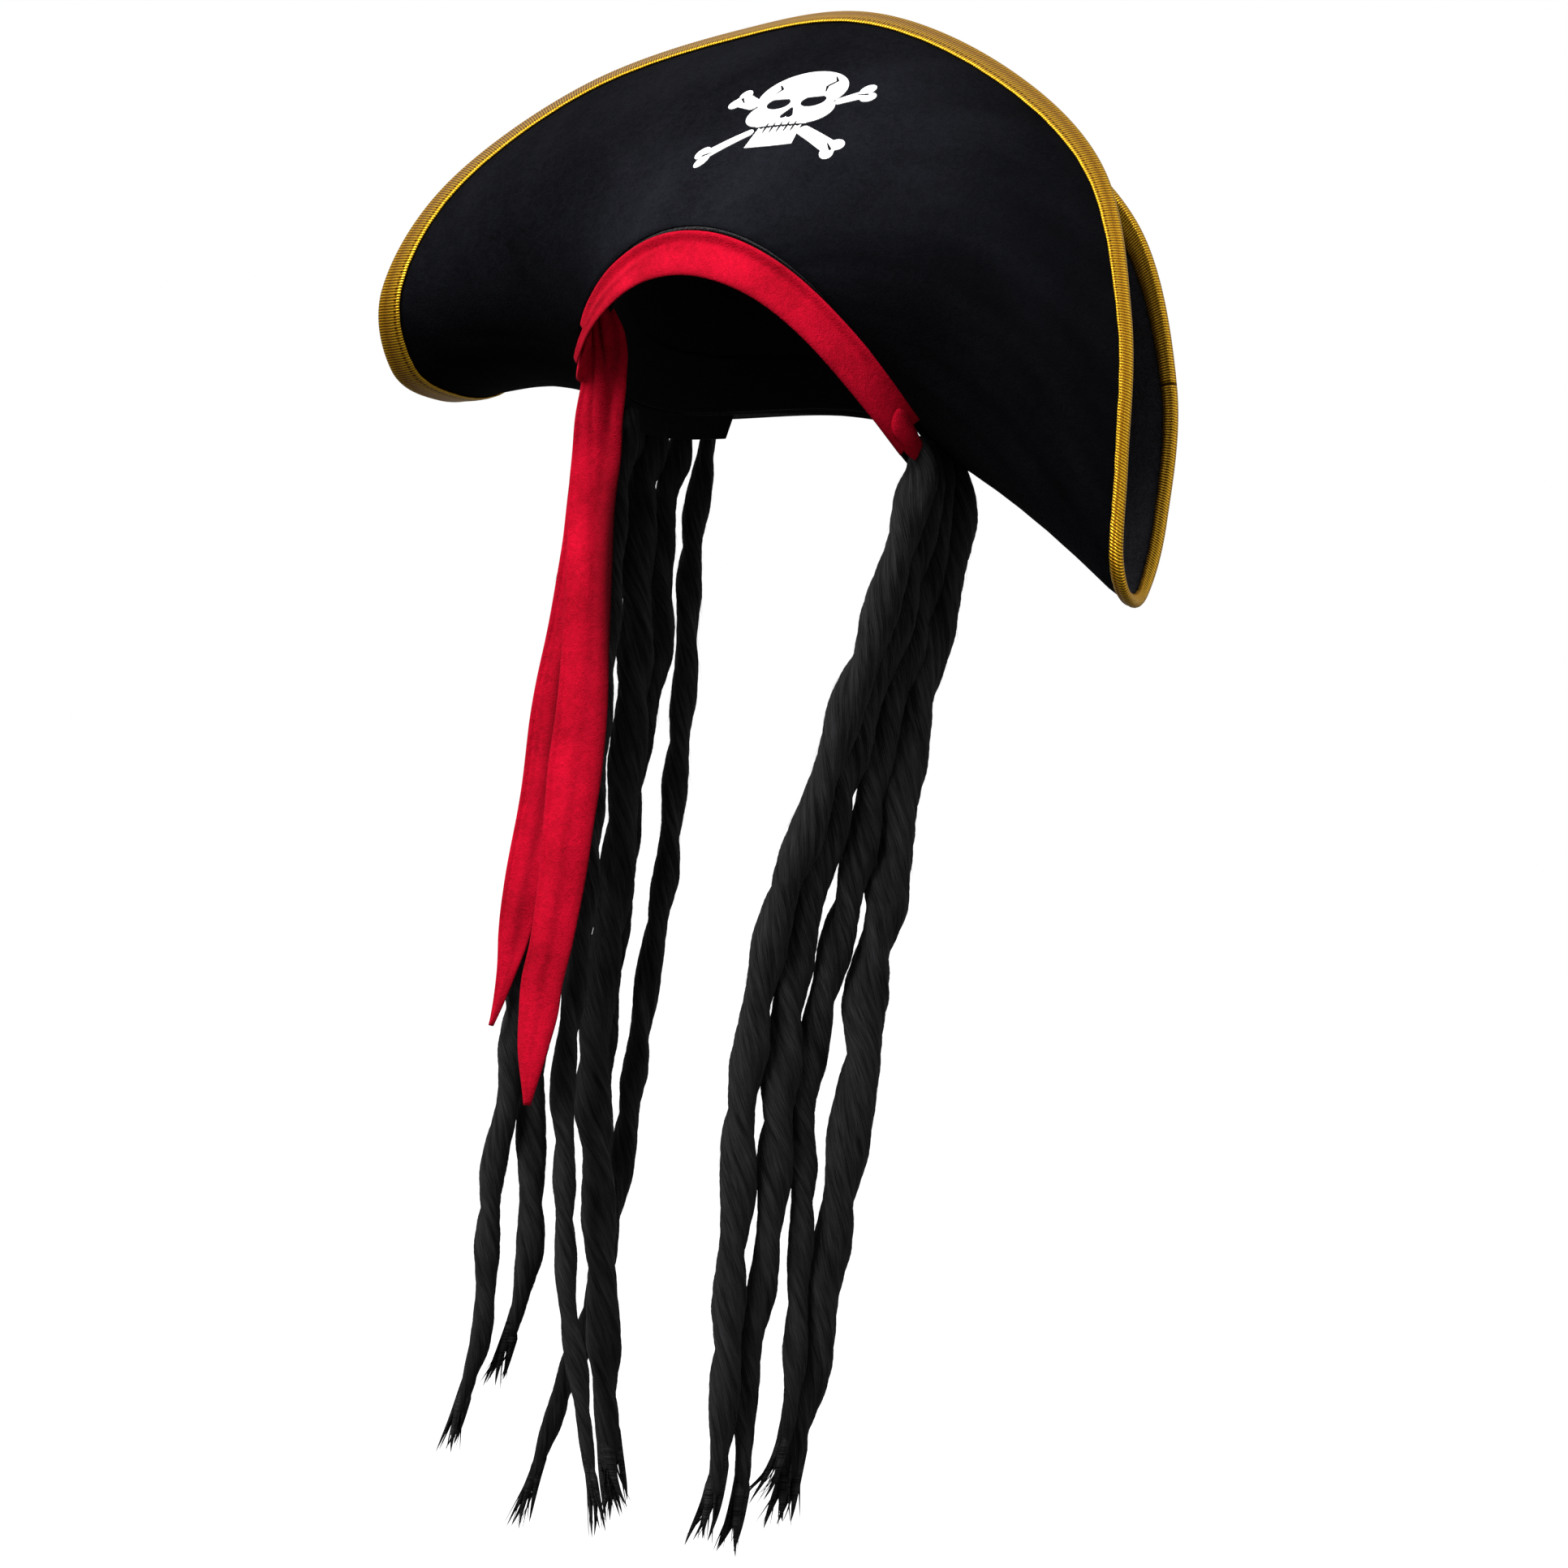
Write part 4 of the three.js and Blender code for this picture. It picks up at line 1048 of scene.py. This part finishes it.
def makeRightEnd():
    # the band's right end, rolled on itself and thinned towards its end
    along, around = rollGrid(24, 24)
    wide = (1 - 0.45 * along ** 2) * (1 + 0.10 * np.cos(3 * around + 5 * along))
    makeRoll("bandana_right_end.roll", "bandana_right_end", rightEndLook, along, around, wide, 4, 0.01)


def makeLeftFold():
    # the band's left end turned over on itself and gathered in pleats into the front tail
    along, around = rollGrid(60, 36)
    full = 0.55 + 0.45 * np.sin(np.pi * np.clip(along * 0.8 + 0.1, 0, 1))
    pleat = 1 + 0.10 * np.cos(4 * around + 4 * along) + 0.05 * np.cos(7 * around - 3 * along)
    makeRoll("bandana_left_fold.cloth", "bandana_left_fold", leftFoldLook, along, around, full * pleat,
             6, 0.02)


# middle of the cloth from the fold to the tip, and its width there
tailRoutes = {
    "front_tail": [
        [-70, -62, -5, 9], [-68, -60, -15, 18], [-68.5, -57, -24, 21], [-70.5, -52, -33, 22],
        [-73, -47, -42, 23], [-76.5, -41, -56, 24.5], [-79, -35, -72, 25.5], [-79.5, -32, -95, 24.5],
        [-76, -32, -126, 23], [-72, -32, -162, 24], [-69, -32, -193, 26], [-68, -32, -224, 28],
        [-68, -32, -248, 26], [-67, -32, -276, 24], [-68, -32, -307, 22], [-70, -32, -327, 22],
        [-70, -32, -343, 21], [-70, -32, -363, 15], [-69, -32, -387, 2.5]],
    "rear_tail": [
        [-91, -20, -50, 22], [-90, -20, -70, 22], [-89, -20, -102, 22], [-89, -20, -128, 22],
        [-91, -20, -162, 22], [-93, -20, -192, 22], [-93, -20, -214, 22], [-93, -20, -250, 22],
        [-96, -20, -285, 20], [-97, -20, -308, 17], [-98, -20, -328, 10], [-103, -20, -354, 2.5]],
}
# pleats: where each starts across the cloth, its drift along it, depth, width and length
tailPleats = ((-0.45, 3.2, 1.0, 0.15, 0.20), (-0.85, 2.4, 0.6, 0.12, 0.3), (0.55, -0.5, 0.55, 0.22, 0.55))
# painted shadows: place across and along, width, height and darkness of each
tailLook = {
    "front_tail": {"crowned": 4.2, "pleat": 3.4, "seed": 3, "flat": (0.029, 0.40), "shade": 0.0,
                   "shadows": ((0.0, 0.12, 1.4, 0.16, 0.25), (1.0, 0.44, 0.6, 0.11, 0.85),
                               (1.05, 0.62, 0.3, 0.5, 0.45), (0.1, 0.78, 0.16, 0.16, 0.22),
                               (-0.98, 0.5, 0.05, 0.6, 0.3))},
    "rear_tail": {"crowned": 2.0, "pleat": 1.2, "seed": 8, "flat": (0.022, 0.31), "shade": 0.02,
                  "shadows": ((0.25, 0.5, 0.28, 0.6, 0.4), (-0.45, 0.45, 0.12, 0.3, 0.2),
                              (-0.2, 0.1, 0.6, 0.18, 0.3))}}


def makeTail(node):
    # route plus half the width across, pushed forward by a crown, a hem and a ripple and back by pleats
    look = tailLook[node]
    along = np.linspace(0, 1, 200)[:, None]
    across = np.linspace(-1, 1, velvetLook["across"])[None, :]
    route = splineAt(np.array(tailRoutes[node], float), along[:, 0], False)[:, None, :]
    wide = route[..., 3]
    fade = np.clip((1 - along) / 0.3, 0, 1)
    fold = look["crowned"] * np.cos(0.5 * np.pi * (0.9 * across + 0.25)) * (0.4 + 0.6 * fade)
    # painted shade: a base amount with random mottling, the painted shadows and darker pleat valleys
    shade = look["shade"] + 0.10 * wave(look["seed"] + 5, along * 3, across * 2.4)
    for where, place, width, tall, dark in look["shadows"]:
        shade = shade + dark * np.exp(-((across - where) / width) ** 2 - ((along - place) / tall) ** 2)
    for start, drift, deep, narrow, dies in tailPleats:
        valley = np.exp(-((across - start - drift * along) / narrow) ** 2 - (along / dies) ** 2)
        fold = fold - look["pleat"] * deep * valley
        shade = shade + 0.6 * deep * valley
    fold = fold + 0.9 * wave(look["seed"], along * 11, across * 1.6)
    hem = 1.5 * np.exp(-((across + 0.88) / 0.10) ** 2) * fade
    middle = np.stack([route[..., 0] + wide / 2 * across + 0.5 * wave(look["seed"] + 2, along * 20),
                       route[..., 1] - fold - hem, route[..., 2] + 0 * across], axis=-1)
    piece = sweepPiece(node + ".cloth", clothFaces(middle, velvetLook["thick"]) * mm, redVelvet)
    shadePiece(piece, shade)
    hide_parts(node)
    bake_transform(piece)


makeBand()
makeRightEnd()
makeLeftFold()
makeTail("front_tail")
makeTail("rear_tail")
print("bandana made")


def placeFloor(level, half):
    # a pale square that is seen but neither lights nor shades the hat
    mesh = bpy.data.meshes.new("floor")
    corners = [(-half, -half, level), (half, -half, level), (half, half, level), (-half, half, level)]
    mesh.from_pydata(corners, [], [(0, 1, 2, 3)])
    finish = newFinish("paleFloor", {"Base Color": (0.9, 0.9, 0.9, 1), "Roughness": 0.9,
                                     "Emission Color": (1, 1, 1, 1), "Emission Strength": 0.6})
    mesh.materials.append(finish[0])
    floor = bpy.data.objects.new("floor", mesh)
    floor.visible_diffuse = False
    floor.visible_glossy = False
    floor.visible_shadow = False
    bpy.context.scene.collection.objects.link(floor)


def placeWorld(look):
    # white to the eye; as light it is brighter above than below
    world = bpy.data.worlds.new("studio")
    bpy.context.scene.world = world
    world.use_nodes = True
    tree = world.node_tree
    tree.nodes.clear()
    place = addNode(tree, "ShaderNodeTexCoord")
    split = addNode(tree, "ShaderNodeSeparateXYZ", {"Vector": place.outputs["Generated"]})
    height = addNode(tree, "ShaderNodeMapRange",
                     {"Value": split.outputs["Z"], "From Min": -0.8, "From Max": 0.9,
                      "To Min": look["below"], "To Max": look["above"]})
    lit = addNode(tree, "ShaderNodeBackground", {"Color": (1, 1, 1, 1), "Strength": height.outputs[0]})
    seen = addNode(tree, "ShaderNodeBackground", {"Color": (1, 1, 1, 1), "Strength": 1.0})
    ray = addNode(tree, "ShaderNodeLightPath")
    both = addNode(tree, "ShaderNodeMixShader", {0: ray.outputs["Is Camera Ray"], 1: lit.outputs[0],
                                                 2: seen.outputs[0]})
    end = addNode(tree, "ShaderNodeOutputWorld")
    tree.links.new(both.outputs[0], end.inputs["Surface"])


def placeLight(name, toward, distance, size, power):
    # a soft square light on the view's own axes, aimed at the middle of the hat
    right, up, back = viewAxes(cameraSetup)
    target = np.array([0.0, 0.0, -0.05])
    away = unit(right * toward[0] + up * toward[1] + back * toward[2])
    side = unit(np.cross([0, 0, 1.0], away))
    data = bpy.data.lights.new(name, "AREA")
    data.size = size
    data.energy = power
    lamp = bpy.data.objects.new(name, data)
    place = target + away * distance
    lamp.matrix_world = placement(side, np.cross(away, side), away, place)
    bpy.context.scene.collection.objects.link(lamp)


studioLook = {"below": 0.08, "above": 0.62, "floorLevel": -1.25, "floorHalf": 30.0}
# direction right, up and back, distance and size in metres, power in watts
lampLook = {"keyLight": ((-0.6, 0.75, 0.7), 2.4, 1.2, 85), "fillLight": ((0.9, 0.15, 0.8), 2.6, 1.6, 12)}
placeFloor(studioLook["floorLevel"], studioLook["floorHalf"])
placeWorld(studioLook)
for lampName, lampValues in lampLook.items():
    placeLight(lampName, *lampValues)
bpy.context.scene.view_settings.view_transform = "Standard"
print("studio made")
